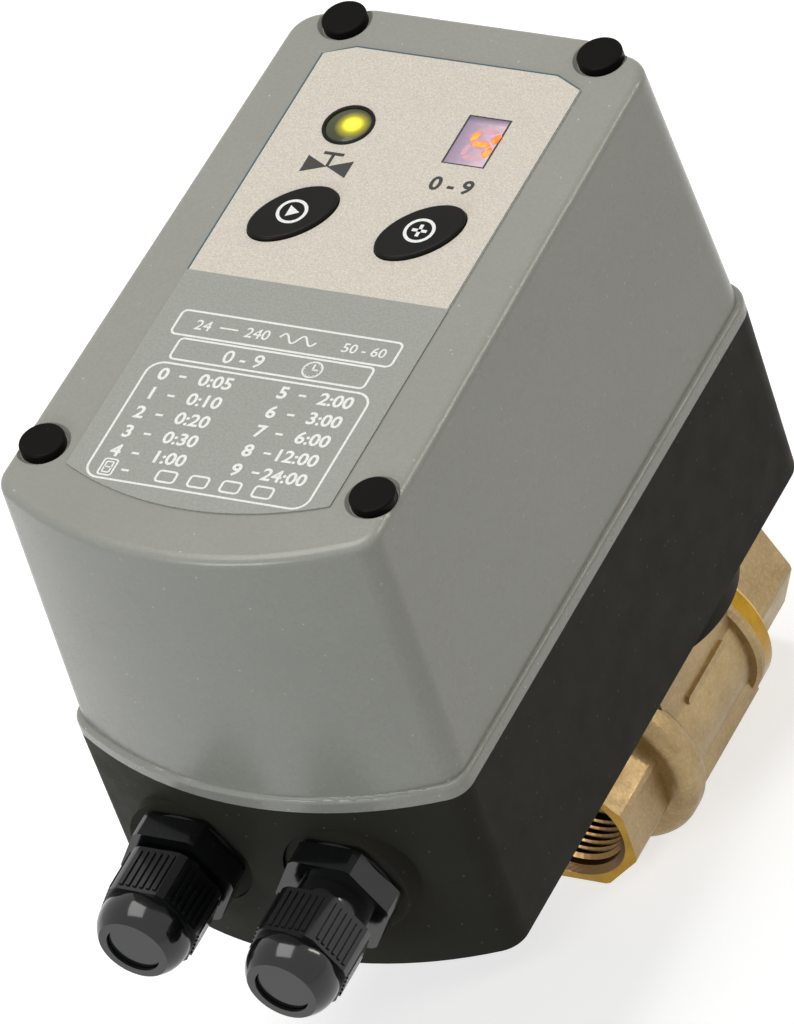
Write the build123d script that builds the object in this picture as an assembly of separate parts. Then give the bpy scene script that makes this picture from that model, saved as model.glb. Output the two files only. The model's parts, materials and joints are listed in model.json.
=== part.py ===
from build123d import *
import os
from math import atan2, cos, pi, radians, sin, sqrt, tan

# Timer-controlled motor ball valve that drains condensate from compressed-air plant.
# Frame, in millimetres: the flow axis lies on Y through x = 0, z = 0, with the inlet's face
# at y = 0 and the outlet in +Y. +Z is up, square to the label face of the timer housing.

# ---- Driving dimensions: valve ------------------------------------------------------------
THREAD_MINOR_R = 12.06          # G 3/4 parallel thread, minor radius
THREAD_LENGTH = 15.0            # full thread in each port
THREAD_CHAMFER = 1.4            # lead-in at each port's mouth
VALVE_LENGTH = 76.0             # inlet face to outlet face
PORT_FLATS = 30.0               # across flats of both octagonal ports
PORT_PRISM = 17.0               # length of the inlet's octagon, to the bulge
BULGE_R = 21.0                  # round bead behind the inlet octagon
BULGE_HALF = 4.2                # half its length
COLLAR_R = 19.6                 # turned collar that takes the end cap
COLLAR_FRONT_Y = 54.0
COLLAR_BACK_Y = 58.2
CAP_PLUG_R = 16.6               # end cap's screwed spigot
PORT_CORNER_R = 16.0            # octagons' corners are turned to this
PORT_CONE = 2.4                 # taper from thread to ball bore
NECK_R = 17.4                   # body between bulge, block and collar
PAD_HALF_LENGTH = 13.0
RIB_RISE = 1.5
END_CAP_GAP = 0.8               # filled by the body seal
SEAL_WIDTH = 1.6
CAP_CLOCKING = 22.5             # how far the end cap's octagon stopped from the inlet's, degrees
BALL_Y = 41.0                   # ball and stem axis, from the inlet face
BALL_R = 14.0
BALL_BORE_R = 9.5
SEAT_NEAR = 8.4                 # seat's inner edge, from the ball's centre
SEAT_FAR = 12.4                 # seat's outer edge, from the ball's centre
CAVITY_R = 15.0
BLOCK_HALF_WIDTH = 15.5         # cast block round the ball
BLOCK_TOP = 23.5
BLOCK_BOTTOM = -18.0
BLOCK_FRONT_Y = 24.5
BLOCK_EDGE = 5.0                # chamfer along the block's long edges
RIB_LENGTH = 17.0               # raised ribs on the block's side
RIB_HEIGHT = 1.8
RIB_DEPTH = 0.7
RIB_PITCH = 4.2
RIB_COUNT = 4
PAD_TOP = 25.5                  # milled pad that the adapter bolts to
STEM_R = 6.0
STEM_COLLAR_R = 7.6
STEM_SQUARE = 8.0
STEM_TOP = 44.0
STEM_TONGUE = 6.0               # tongue that turns the ball
STEM_TONGUE_FOOT = 10.0
STEM_COLLAR_FOOT = 14.0
STEM_COLLAR_TOP = 15.8
THRUST_WASHER = 0.8
STEM_SHOULDER = 32.0            # where the stem's round stretch ends and its square starts
PACKING_R = 8.6
PACKING_FLOOR = 17.6
PACKING_RINGS = 3
PACKING_RING = 2.2
PACKING_NUT_FLATS = 17.0
PACKING_NUT_HEIGHT = 5.0

# ---- Driving dimensions: adapter between valve and housing ------------------------------------
ADAPTER_R = 25.0
ADAPTER_WELL_R = 18.4
ADAPTER_WEB = 3.5
ADAPTER_WEB_HOLE_R = 10.4
PAD_SCREW_CIRCLE_R = 14.5
PAD_SCREW_DEPTH = 8.0
BASE_SCREW_CIRCLE_R = 21.7
BASE_SCREW_BITE = 7.0
SCREW_R = 2.0                   # M4 socket screws
SCREW_HEAD_R = 3.5
SCREW_HEAD_HEIGHT = 2.6

# ---- Driving dimensions: housing ----------------------------------------------------------
HOUSING_X = -14.0               # housing centreline, beside the flow axis
HOUSING_Y = 13.0                # centre of the four cover screws' pattern
BASE_BOTTOM = 35.6
BASE_HEIGHT = 43.3
COVER_HEIGHT = 66.6
BASE_HALF_WIDTH = 43.1
BASE_TAPER = 0.5                # how much each wall of the base leans in, to its bottom
COVER_SET_BACK = 0.9            # cover's wall inside the base's rim, above its lip
COVER_TAPER = 1.0               # how much each side of the cover leans in, to its top
COVER_END_TAPER = 1.2           # the same for its two ends
COVER_PINCH = 2.2               # how much more the sides lean in at the rear
FRONT_CORNER_Y = 72.4           # from the pattern's centre to the curved end's corners
FRONT_SAGITTA = 11.9            # how far the curved end stands out between them
REAR_CORNER_Y = 62.0            # from the pattern's centre to where the sides end
REAR_Y = 66.3                   # from the pattern's centre to the flat rear wall
REAR_HALF_FLAT = 26.0
FRONT_CORNER_FILLET = 6.0
REAR_CORNER_FILLET = 7.0
BASE_WALL = 3.0
COVER_WALL = 2.6
COVER_TOP_FILLET = 2.0
LIP_HEIGHT = 3.4                # lip round the cover's rim
LIP_FILLET = 1.0
RIM = (0.0, 0.0, 0.0)            # leans at the sides, at the ends, and the rear's pinch
BASE_FOOT = (BASE_TAPER, BASE_TAPER, 0.0)
COVER_FOOT = (COVER_SET_BACK, COVER_SET_BACK, 0.0)
COVER_HEAD = (COVER_SET_BACK + COVER_TAPER, COVER_SET_BACK + COVER_END_TAPER, COVER_PINCH)
GASKET_INSET = 0.8              # gasket's outer edge, from the base's rim
GASKET_WIDTH = 1.4
GASKET_DEEP = 1.2               # groove in the base's rim, which the squeezed gasket fills

# ---- Driving dimensions: cover screws and their caps ---------------------------------------
FRONT_SCREW_X = 36.0            # half the spacing of the screws at the curved end
REAR_SCREW_X = 28.3             # half the spacing at the flat end
SCREW_PATTERN_Y = 59.3          # half the distance between the two pairs
CAP_R = 4.6
CAP_PROUD = 1.1
CAP_HEIGHT = 3.2
CAP_STEM = 4.0                  # split skirt that grips the well
CAP_DISH_R = 5.6                # dished rim round each cap
CAP_DISH_DEPTH = 0.9
PILLAR_R = 6.4
WELL_R = 3.3
COVER_SCREW_R = 1.75
COVER_SCREW_HEAD_R = 3.1
COVER_SCREW_HEAD = 3.4
COVER_SCREW_BITE = 14.0         # thread length in the base's pillar
COVER_SCREW_SEAT = 10.0         # head's seat above the parting plane

# ---- Driving dimensions: label face ----------------------------------------------------------
FILM_HALF_WIDTH = 28.7
FILM_THICK = 0.35
FILM_TOP_Y = 52.8
FILM_FOOT_Y = -63.4
FILM_FOOT_SAGITTA = 6.4
FILM_CORNER_X = 6.5
FILM_CORNER_Y = 2.9
CONTROL_COLUMN_X = 14.0         # both columns of controls, from the film's centreline
LED_Y = 32.0
LED_LENS_R = 4.6
LED_R = 2.5
DISPLAY_Y = 32.6
DISPLAY_WIDTH = 9.0
DISPLAY_LENGTH = 13.0
KEY_Y = 7.1
KEY_LONG_R = 9.4                # half axes of the oval keys
KEY_SHORT_R = 5.9
KEY_TILT = 45.0                 # long axis from the part's X, degrees
KEY_PROUD = 0.9                 # key's top above the film
KEY_TRAVEL = 0.4
KEY_FLANGE = 1.0                # lip under the cover that keeps the key in
KEY_FLANGE_THICK = 0.8
KEY_EDGE = 0.5                  # rounding of the key's top edge
KEY_ROD_R = 1.7
LED_BEZEL = 0.8                 # black ring round the lens
LED_BEZEL_PROUD = 0.3
LED_DOME = 0.5
LED_GAP = 0.4                   # LED's tip below its lens
TACT_HEIGHT = 3.5
TACT_PLUNGER = 1.0
FACE_BOARD_DROP = 11.0          # face board's top below the label face
FACE_BOARD_WIDTH = 50.0
FACE_BOARD_FOOT_Y = -9.0        # from the screw pattern's centre
FACE_BOARD_TOP_Y = 46.0
FACE_BOARD_HOLE_X = 1.5         # screws' distance from the centreline, as a share of the columns'
BOARD_THICK = 1.6
BOARD_BOSS_R = 3.2
BOARD_SCREW_R = 1.25
BOARD_SCREW_BITE = 6.0

# ---- Driving dimensions: cable glands (PG 9) ---------------------------------------------------
GLAND_X = 17.2                  # from the housing's centreline
GLAND_Z = 60.8
GLAND_THREAD_R = 7.6            # PG 9 thread, 15.2 mm outside
GLAND_BORE_R = 5.2
GLAND_BODY_FLATS = 22.0
GLAND_NUT_FLATS = 19.0
GLAND_BODY_HEX = 5.5
GLAND_NECK = 9.0                # threaded neck beyond the hexagon
GLAND_FINGERS = 5.0             # tapered clamping fingers beyond the neck
GLAND_FINGER_TIP_R = 6.3
GLAND_NUT_LENGTH = 17.8
GLAND_NUT_HEX = 11.0            # ribbed hexagonal stretch of the dome nut
GLAND_NUT_RIBS = 6              # ribs on each flat
GLAND_MOUTH_R = 5.6
GLAND_DOME_R = 8.2              # dome nut's outer radius at its mouth
GLAND_NUT_GAP = {"left": 1.6, "right": 4.8}   # slack between body and nut, as left by the fitter
GLAND_SPOT_R = 13.2             # flat spot face on the curved end
GLAND_SPOT_STAND = 0.6
GLAND_WASHER = 1.2
LOCKNUT_FLATS = 19.0
LOCKNUT_THICK = 4.0

GLAND_PAD_EXTRA = 3.8           # spot face's boss, inside the curved wall
GLAND_TAIL = 12.0               # thread behind the spot face
GLAND_SEAL_R = 5.9
GLAND_PLUG_R = 4.0
GLAND_DOME_WALL = 1.6
SLIP_RING = 1.2
GLAND_BODY_ROUND_R = 12.3       # hexagons' corners are turned to these
GLAND_NUT_ROUND_R = 10.5

# ---- Driving dimensions: gear motor --------------------------------------------------------------
PRESSURE_ANGLE = radians(20)
PLATE_LEFT = -46.0              # gear plates' corner screws
PLATE_RIGHT = 19.5
PLATE_FRONT = 10.0
PLATE_REAR = 60.0
PLATE_MARGIN = 4.5
POST_R = 3.6
PLATE_SCREW_R = 1.5
BUSH_R = 10.0
BUSH_FLANGE = 1.6
SPINDLE_SQUARE = 9.0
WEB_HOLE_CIRCLE_R = 14.5
WEB_HOLE_R = 3.6
MOTOR_SHAFT_R = 1.0
MOTOR_SHAFT_SUNK = 6.0          # shaft's length inside the motor
MOTOR_BOSS_R = 4.0
MOTOR_EAR_R = 3.4
MOTOR_EAR_THICK = 1.2
MOTOR_EAR_DIRECTIONS = (100.0, 280.0)
CAM_GAP = 1.2
CAM_NOTCH_DIRECTIONS = (0.0, 90.0)
SWITCH_HOLE_Y = 4.75
SWITCH_SCREW_R = 1.1
FLOOR_GAP = 5.4                 # lower gear plate above the base's floor
PLATE_THICK = 2.0
PLATE_GAP = 16.0                # between the two gear plates
OUTPUT_MODULE = 0.8
OUTPUT_TEETH = 56
SECOND_PINION_TEETH = 12
SECOND_MODULE = 0.6
SECOND_WHEEL_TEETH = 48
FIRST_PINION_TEETH = 12
FIRST_MODULE = 0.5
FIRST_WHEEL_TEETH = 45
MOTOR_PINION_TEETH = 12
BACKLASH = 0.12
MESH_PLAY = 0.08                # added to each centre distance
OUTPUT_FACE = 5.0
WHEEL_FACE = 2.6
SECOND_DIRECTION = 180.0        # where each shaft lies from the one before, degrees from +X
FIRST_DIRECTION = 270.0
MOTOR_DIRECTION = 310.0
GEAR_PIN_R = 1.5
MOTOR_R = 23.0
MOTOR_LENGTH = 19.0
COUPLING_R = 8.0
SPINDLE_R = 4.0
CAM_R = 8.2
CAM_NOTCH = 1.4
CAM_THICK = 5.0
SWITCH_LENGTH = 19.8
SWITCH_WIDTH = 10.0
SWITCH_THICK = 6.0
SWITCH_PLUNGER = 1.2

# ---- Driving dimensions: power board ----------------------------------------------------------
POWER_BOARD_FRONT = -38.0       # y of the board's front edge
POWER_BOARD_HOLE = 4.0          # screw holes from the board's edges
POWER_BOARD_AIR = 2.0           # between the motor's top and the board
TRANSFORMER = (34.0, 28.0, 22.0)
RELAY = (12.5, 28.0, 15.0)
TERMINAL = (36.0, 9.0, 11.0)
FUSE_R = 2.6
FUSE_LENGTH = 20.0
CAPACITOR_R = 5.0
CAPACITOR_HEIGHT = 16.0
TERMINAL_WAYS = 6
TRANSFORMER_AT = (-12.0, -22.0)  # centres on the board, from the screw pattern's centre
RELAY_AT = (14.0, -20.0)
TERMINAL_AT = (0.0, -46.0)
FUSE_AT = (27.0, -24.0)
CAPACITOR_AT = (27.0, -41.0)

# ---- Clearances ----------------------------------------------------------------------------------
RUNNING = 0.05                  # radial, shafts in their bearings
LOOSE = 0.3                     # round what only passes through
SLIDE = 0.2                     # round the keys

# ---- Worked out from the above -------------------------------------------------------------------
PARTING = BASE_BOTTOM + BASE_HEIGHT
FACE_TOP = PARTING + COVER_HEIGHT
FLOOR_TOP = BASE_BOTTOM + BASE_WALL
LOWER_PLATE = FLOOR_TOP + FLOOR_GAP
UPPER_PLATE = LOWER_PLATE + PLATE_THICK + PLATE_GAP
PLATE_TOP = UPPER_PLATE + PLATE_THICK
OUTPUT_GEAR_Z = LOWER_PLATE + PLATE_THICK + 1.0
SECOND_WHEEL_Z = OUTPUT_GEAR_Z + OUTPUT_FACE + 1.0
FIRST_WHEEL_Z = SECOND_WHEEL_Z + WHEEL_FACE + 1.0
FACE_BOARD_TOP = FACE_TOP - FACE_BOARD_DROP
FACE_BOARD_BOTTOM = FACE_BOARD_TOP - BOARD_THICK
POWER_BOARD_Z = PLATE_TOP + MOTOR_LENGTH + POWER_BOARD_AIR
CAM_STACK_Z = PLATE_TOP + 1.6
POWER_BOARD_TOP = POWER_BOARD_Z + BOARD_THICK
SIDES = {"left": -1, "right": 1}


def step_along(start, direction, distance):
    """The point at a distance from start, in a direction in degrees."""
    return (start[0] + distance * cos(radians(direction)),
            start[1] + distance * sin(radians(direction)))


def mesh_distance(module, teeth_a, teeth_b):
    return module * (teeth_a + teeth_b) / 2 + MESH_PLAY


DRIVE_AXIS = (0.0, BALL_Y)
SECOND_AXIS = step_along(DRIVE_AXIS, SECOND_DIRECTION,
                         mesh_distance(OUTPUT_MODULE, OUTPUT_TEETH, SECOND_PINION_TEETH))
FIRST_AXIS = step_along(SECOND_AXIS, FIRST_DIRECTION,
                        mesh_distance(SECOND_MODULE, SECOND_WHEEL_TEETH, FIRST_PINION_TEETH))
MOTOR_AXIS = step_along(FIRST_AXIS, MOTOR_DIRECTION,
                        mesh_distance(FIRST_MODULE, FIRST_WHEEL_TEETH, MOTOR_PINION_TEETH))


# ---- Shared shapes ---------------------------------------------------------------------------------
def disc(x, y, z, radius, height):
    """Upright cylinder standing on z."""
    return Pos(x, y, z + height / 2) * Cylinder(radius, height)


def tube(x, y, z, outer, inner, height):
    return disc(x, y, z, outer, height) - disc(x, y, z, inner, height)


def block(x, y, z, size):
    """Box centred on x, y and standing on z."""
    return Pos(x, y, z + size[2] / 2) * Box(*size)


def rod_y(x, y, z, radius, length):
    """Cylinder along Y from y to y + length."""
    return Pos(x, y + length / 2, z) * Rot(90, 0, 0) * Cylinder(radius, length)


def prism_y(x, y, z, flats, sides, length, clocking=0.0):
    """Regular prism along Y from y to y + length, with a flat on top at no clocking."""
    outline = RegularPolygon(flats / 2, sides, major_radius=False, rotation=180 / sides)
    face = Plane(origin=(x, y, z), x_dir=(1, 0, 0), z_dir=(0, 1, 0)) * Rot(0, 0, clocking) * outline
    return extrude(face, length)


def hex_prism(x, y, z, flats, height):
    outline = RegularPolygon(flats / 2, 6, major_radius=False)
    return extrude(Pos(x, y, z) * outline, height)


def socket_screw(x, y, z, length):
    """Cap screw whose head sits on z, with its shank down from there."""
    screw = disc(x, y, z, SCREW_HEAD_R, SCREW_HEAD_HEIGHT)
    screw += disc(x, y, z - length, SCREW_R, length)
    return screw - hex_prism(x, y, z + SCREW_HEAD_HEIGHT / 2, SCREW_R * 1.5, SCREW_HEAD_HEIGHT)


def circle_points(radius, count, start=45.0):
    """Points on a circle round the drive axis."""
    return [step_along(DRIVE_AXIS, start + 360 * i / count, radius) for i in range(count)]


# ---- Housing outline ----------------------------------------------------------------------------
def housing_outline(lean, z):
    """Plan of the housing at z: curved end at the front, cut corners at the rear.

    lean is how far the plan stands in from the rim: at the sides, at the ends, and at the sides'
    rear ends beyond that.
    """
    side_lean, end_lean, pinch = lean
    side = BASE_HALF_WIDTH - side_lean
    rear_side = side - pinch
    rear_flat = REAR_HALF_FLAT - pinch
    front = end_lean - FRONT_CORNER_Y
    side_end = REAR_CORNER_Y - end_lean
    rear = REAR_Y - end_lean
    curved_end = ThreePointArc((-side, front), (0, front - FRONT_SAGITTA), (side, front))
    walls = Polyline((side, front), (rear_side, side_end), (rear_flat, rear),
                     (-rear_flat, rear), (-rear_side, side_end), (-side, front))
    plan = make_face(curved_end + walls)
    plan = fillet(plan.vertices().filter_by(lambda v: v.Y < front + 1), FRONT_CORNER_FILLET)
    plan = fillet(plan.vertices().filter_by(lambda v: v.Y > side_end - 1), REAR_CORNER_FILLET)
    return Pos(HOUSING_X, HOUSING_Y, z) * plan


def part_way(low, high, share):
    """The lean at a share of the way from one lean to another."""
    return [start + (end - start) * share for start, end in zip(low, high)]


def housing_body(low, lean_low, high, lean_high, inset=0.0):
    """Solid between two plans of the housing, each leaning in by its own amounts."""
    plans = [housing_outline(lean_low, low), housing_outline(lean_high, high)]
    if inset:
        plans = [offset(plan, -inset) for plan in plans]
    return loft(plans, ruled=True)


def rim_ring(outer_inset, inner_inset, low, height):
    """Ring that follows the base's rim, between two insets from it."""
    rim = housing_outline(RIM, low)
    return extrude(offset(rim, -outer_inset) - offset(rim, -inner_inset), height)


def cover_screw_points():
    front = HOUSING_Y - SCREW_PATTERN_Y
    rear = HOUSING_Y + SCREW_PATTERN_Y
    return [(HOUSING_X - FRONT_SCREW_X, front), (HOUSING_X + FRONT_SCREW_X, front),
            (HOUSING_X - REAR_SCREW_X, rear), (HOUSING_X + REAR_SCREW_X, rear)]


def gland_seat_y():
    """Plane of the flat spot faces, just proud of the curved end."""
    radius = (BASE_HALF_WIDTH ** 2 + FRONT_SAGITTA ** 2) / (2 * FRONT_SAGITTA)
    drop = radius - sqrt(radius ** 2 - GLAND_X ** 2)
    return HOUSING_Y - FRONT_CORNER_Y - FRONT_SAGITTA + drop - GLAND_SPOT_STAND


def gland_place(side):
    """Frame of one gland: origin on its spot face, local Z outwards."""
    origin = (HOUSING_X + SIDES[side] * GLAND_X, gland_seat_y(), GLAND_Z)
    return Plane(origin=origin, x_dir=(1, 0, 0), z_dir=(0, -1, 0)).location


# ---- Housing --------------------------------------------------------------------------------------
def base():
    floor_lean = part_way(BASE_FOOT, RIM, BASE_WALL / BASE_HEIGHT)
    body = housing_body(BASE_BOTTOM, BASE_FOOT, PARTING, RIM)
    body -= housing_body(FLOOR_TOP, floor_lean, PARTING, RIM, inset=BASE_WALL)
    room = housing_body(FLOOR_TOP, floor_lean, PARTING, RIM, inset=BASE_WALL / 2)
    for x, y in cover_screw_points():
        pillar = disc(x, y, FLOOR_TOP - 0.5, PILLAR_R, PARTING - FLOOR_TOP + 0.5)
        body += pillar & room
        body -= disc(x, y, PARTING - COVER_SCREW_BITE - 1, COVER_SCREW_R, COVER_SCREW_BITE + 2)
    for x, y in plate_corner_points():
        body += disc(x, y, FLOOR_TOP, POST_R, FLOOR_GAP)
        body -= disc(x, y, FLOOR_TOP - 1, PLATE_SCREW_R, FLOOR_GAP + 2)
    for x, y in front_board_points():
        body += disc(x, y, FLOOR_TOP, POST_R, PLATE_TOP - FLOOR_TOP)
    for side in SIDES:
        place = gland_place(side)
        pad_depth = GLAND_SPOT_STAND + BASE_WALL + GLAND_PAD_EXTRA
        body += place * Pos(0, 0, -pad_depth / 2) * Cylinder(GLAND_SPOT_R, pad_depth)
        body -= place * Pos(0, 0, 10) * Cylinder(GLAND_SPOT_R, 20)
        body -= place * Cylinder(GLAND_THREAD_R + SLIDE, 40)
    body -= disc(*DRIVE_AXIS, BASE_BOTTOM - 1, BUSH_R, BASE_WALL + 2)
    for x, y in circle_points(BASE_SCREW_CIRCLE_R, 4, start=0):
        body -= disc(x, y, BASE_BOTTOM - 1, SCREW_R + LOOSE, BASE_WALL + 2)
    body -= rim_ring(GASKET_INSET, GASKET_INSET + GASKET_WIDTH, PARTING - GASKET_DEEP, 5)
    return body


def cover():
    body = housing_body(PARTING, COVER_FOOT, FACE_TOP, COVER_HEAD)
    top_edges = body.edges().filter_by(lambda e: e.center().Z > FACE_TOP - 0.01)
    body = fillet(top_edges, COVER_TOP_FILLET)
    lip = extrude(housing_outline(RIM, PARTING), LIP_HEIGHT)
    lip = fillet(lip.edges().group_by(Axis.Z)[-1], LIP_FILLET)
    body += lip
    ceiling_lean = part_way(COVER_HEAD, COVER_FOOT, COVER_WALL / COVER_HEIGHT)
    room = housing_body(PARTING, COVER_FOOT, FACE_TOP - COVER_WALL, ceiling_lean, COVER_WALL)
    for x, y in cover_screw_points():
        room -= disc(x, y, PARTING, PILLAR_R, COVER_HEIGHT)
    for x, y in face_board_points():
        room -= disc(x, y, FACE_BOARD_TOP, BOARD_BOSS_R, COVER_HEIGHT)
    body -= room
    for x, y in cover_screw_points():
        seat = PARTING + COVER_SCREW_SEAT
        body -= disc(x, y, seat, WELL_R, COVER_HEIGHT)
        body -= disc(x, y, PARTING - 1, COVER_SCREW_R + LOOSE, COVER_SCREW_SEAT + 2)
        body -= disc(x, y, FACE_TOP - CAP_HEIGHT + CAP_PROUD, CAP_R, CAP_HEIGHT)
        body -= cap_dish(x, y)
    body -= disc(*control_point(-1, LED_Y), FACE_TOP - 10, LED_LENS_R, 20)
    body -= block(*control_point(1, DISPLAY_Y), FACE_TOP - 10, (DISPLAY_WIDTH, DISPLAY_LENGTH, 20))
    for column in (-1, 1):
        body -= extrude(key_outline(column, FACE_TOP - 10, SLIDE), 20)
    for x, y in face_board_points():
        body -= disc(x, y, FACE_BOARD_TOP, BOARD_SCREW_R, BOARD_SCREW_BITE)
    return body


def cap_dish(x, y):
    """Shallow dish with a rolled edge round a screw cap."""
    profile = Polyline((0, FACE_TOP + 0.01), (CAP_DISH_R, FACE_TOP + 0.01),
                       (CAP_R + 0.2, FACE_TOP - CAP_DISH_DEPTH), (0, FACE_TOP - CAP_DISH_DEPTH),
                       close=True)
    dish = revolve(Plane.XZ * make_face(profile), Axis.Z)
    return Pos(x, y, 0) * dish


def housing_gasket():
    return rim_ring(GASKET_INSET, GASKET_INSET + GASKET_WIDTH, PARTING - GASKET_DEEP, GASKET_DEEP)


def cover_screws():
    screws = []
    for x, y in cover_screw_points():
        seat = PARTING + COVER_SCREW_SEAT
        screw = disc(x, y, seat, COVER_SCREW_HEAD_R, COVER_SCREW_HEAD)
        screw += disc(x, y, PARTING - COVER_SCREW_BITE, COVER_SCREW_R, COVER_SCREW_BITE + COVER_SCREW_SEAT)
        screw -= hex_prism(x, y, seat + COVER_SCREW_HEAD / 2, 3.0, COVER_SCREW_HEAD)
        screws.append(screw)
    return screws


def screw_caps():
    caps = []
    for x, y in cover_screw_points():
        cap = disc(x, y, FACE_TOP + CAP_PROUD - CAP_HEIGHT, CAP_R, CAP_HEIGHT)
        cap = fillet(cap.edges().group_by(Axis.Z)[-1], 0.4)
        stem = tube(x, y, FACE_TOP + CAP_PROUD - CAP_HEIGHT - CAP_STEM, WELL_R - 0.1, WELL_R - 1.1, CAP_STEM)
        caps.append(cap + stem)
    return caps


# ---- Label face -------------------------------------------------------------------------------------
def control_point(column, y):
    """Centre of a control in the left (-1) or right (1) column of the label face."""
    return (HOUSING_X + column * CONTROL_COLUMN_X, HOUSING_Y + y)


def face_film():
    side = FILM_HALF_WIDTH
    foot = ThreePointArc((-side, FILM_FOOT_Y), (0, FILM_FOOT_Y - FILM_FOOT_SAGITTA), (side, FILM_FOOT_Y))
    rest = Polyline((side, FILM_FOOT_Y), (side, FILM_TOP_Y - FILM_CORNER_Y),
                    (side - FILM_CORNER_X, FILM_TOP_Y), (FILM_CORNER_X - side, FILM_TOP_Y),
                    (-side, FILM_TOP_Y - FILM_CORNER_Y), (-side, FILM_FOOT_Y))
    film = extrude(Pos(HOUSING_X, HOUSING_Y, FACE_TOP) * make_face(foot + rest), FILM_THICK)
    film -= disc(*control_point(-1, LED_Y), FACE_TOP - 1, LED_LENS_R + LED_BEZEL, 2)
    film -= block(*control_point(1, DISPLAY_Y), FACE_TOP - 1, (DISPLAY_WIDTH, DISPLAY_LENGTH, 2))
    for column in (-1, 1):
        film -= extrude(key_outline(column, FACE_TOP - 1, SLIDE), 2)
    return film


def led_bezel():
    x, y = control_point(-1, LED_Y)
    ring = tube(x, y, FACE_TOP, LED_LENS_R + LED_BEZEL, LED_LENS_R, FILM_THICK + LED_BEZEL_PROUD)
    return fillet(ring.edges().group_by(Axis.Z)[-1], 0.25)


def led_lens():
    x, y = control_point(-1, LED_Y)
    lens = disc(x, y, FACE_TOP - COVER_WALL, LED_LENS_R, COVER_WALL + FILM_THICK)
    top = FACE_TOP + FILM_THICK
    radius = (LED_LENS_R ** 2 + LED_DOME ** 2) / (2 * LED_DOME)
    dome = Pos(x, y, top + LED_DOME - radius) * Sphere(radius)
    dome &= disc(x, y, top, LED_LENS_R, LED_DOME + 1)
    return lens + dome


def status_led():
    x, y = control_point(-1, LED_Y)
    tip = FACE_TOP - COVER_WALL - LED_GAP
    led = disc(x, y, FACE_BOARD_TOP, LED_R, tip - LED_R - FACE_BOARD_TOP)
    led += disc(x, y, FACE_BOARD_TOP, LED_R + 0.4, 1.0)
    return led + Pos(x, y, tip - LED_R) * Sphere(LED_R)


def display_module():
    x, y = control_point(1, DISPLAY_Y)
    return block(x, y, FACE_BOARD_TOP, (DISPLAY_WIDTH, DISPLAY_LENGTH, FACE_TOP - FACE_BOARD_TOP - 0.6))


def display_window():
    x, y = control_point(1, DISPLAY_Y)
    return block(x, y, FACE_TOP - 0.6, (DISPLAY_WIDTH, DISPLAY_LENGTH, 0.6 + FILM_THICK))


def key_outline(column, z, grown=0.0):
    """Tilted oval of one key at z, grown all round by a little for an opening or a flange."""
    x, y = control_point(column, KEY_Y)
    return Pos(x, y, z) * Rot(0, 0, KEY_TILT) * Ellipse(KEY_LONG_R + grown, KEY_SHORT_R + grown)


def key(column):
    """One push key: elliptical cap, keeper flange under the cover, and its push rod."""
    x, y = control_point(column, KEY_Y)
    under = FACE_TOP - COVER_WALL
    top = FACE_TOP + FILM_THICK + KEY_PROUD
    cap = extrude(key_outline(column, under - 0.1), top - under + 0.1)
    cap = fillet(cap.edges().group_by(Axis.Z)[-1], KEY_EDGE)
    flange = key_outline(column, under - KEY_FLANGE_THICK - 0.05, KEY_FLANGE)
    cap += extrude(flange, KEY_FLANGE_THICK)
    rod_foot = FACE_BOARD_TOP + TACT_HEIGHT + TACT_PLUNGER
    return cap + disc(x, y, rod_foot, KEY_ROD_R, under - KEY_FLANGE_THICK - rod_foot)


def key_plunger(column):
    """The tact switch's own plunger, which the key pushes."""
    x, y = control_point(column, KEY_Y)
    sunk = KEY_TRAVEL + 0.3
    return disc(x, y, FACE_BOARD_TOP + TACT_HEIGHT - sunk, KEY_ROD_R, TACT_PLUNGER + sunk)


def key_switches():
    switches = []
    for column in (-1, 1):
        x, y = control_point(column, KEY_Y)
        body = block(x, y, FACE_BOARD_TOP, (6.2, 6.2, TACT_HEIGHT))
        well = 2 * KEY_TRAVEL + 0.6
        switches.append(body - disc(x, y, FACE_BOARD_TOP + TACT_HEIGHT - well, KEY_ROD_R + LOOSE, well))
    return switches


def face_board_points():
    return [control_point(column * FACE_BOARD_HOLE_X, y)
            for column in (-1, 1) for y in (FACE_BOARD_FOOT_Y + 3.5, FACE_BOARD_TOP_Y - 3.5)]


def face_board():
    length = FACE_BOARD_TOP_Y - FACE_BOARD_FOOT_Y
    middle = HOUSING_Y + (FACE_BOARD_TOP_Y + FACE_BOARD_FOOT_Y) / 2
    board = block(HOUSING_X, middle, FACE_BOARD_BOTTOM, (FACE_BOARD_WIDTH, length, BOARD_THICK))
    for x, y in face_board_points():
        board -= disc(x, y, FACE_BOARD_BOTTOM - 1, BOARD_SCREW_R + LOOSE, BOARD_THICK + 2)
    return board


def face_board_screws():
    screws = []
    for x, y in face_board_points():
        head = disc(x, y, FACE_BOARD_BOTTOM - 1.6, 2.4, 1.6)
        screws.append(head + disc(x, y, FACE_BOARD_BOTTOM, BOARD_SCREW_R, BOARD_THICK + BOARD_SCREW_BITE))
    return screws


# ---- Valve ------------------------------------------------------------------------------------------
def port_bore(face_y, inward):
    """Threaded bore of a port, with its lead-in chamfer, cut from the face inwards."""
    profile = Polyline((0, -1), (THREAD_MINOR_R + THREAD_CHAMFER + 1, -1),
                       (THREAD_MINOR_R, THREAD_CHAMFER), (THREAD_MINOR_R, THREAD_LENGTH),
                       (BALL_BORE_R, THREAD_LENGTH + PORT_CONE), (BALL_BORE_R, BALL_Y), (0, BALL_Y),
                       close=True)
    bore = revolve(Plane.XY * make_face(profile), Axis.Y)
    if inward < 0:
        bore = mirror(bore, about=Plane.XZ)
    return Pos(0, face_y, 0) * bore


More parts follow.
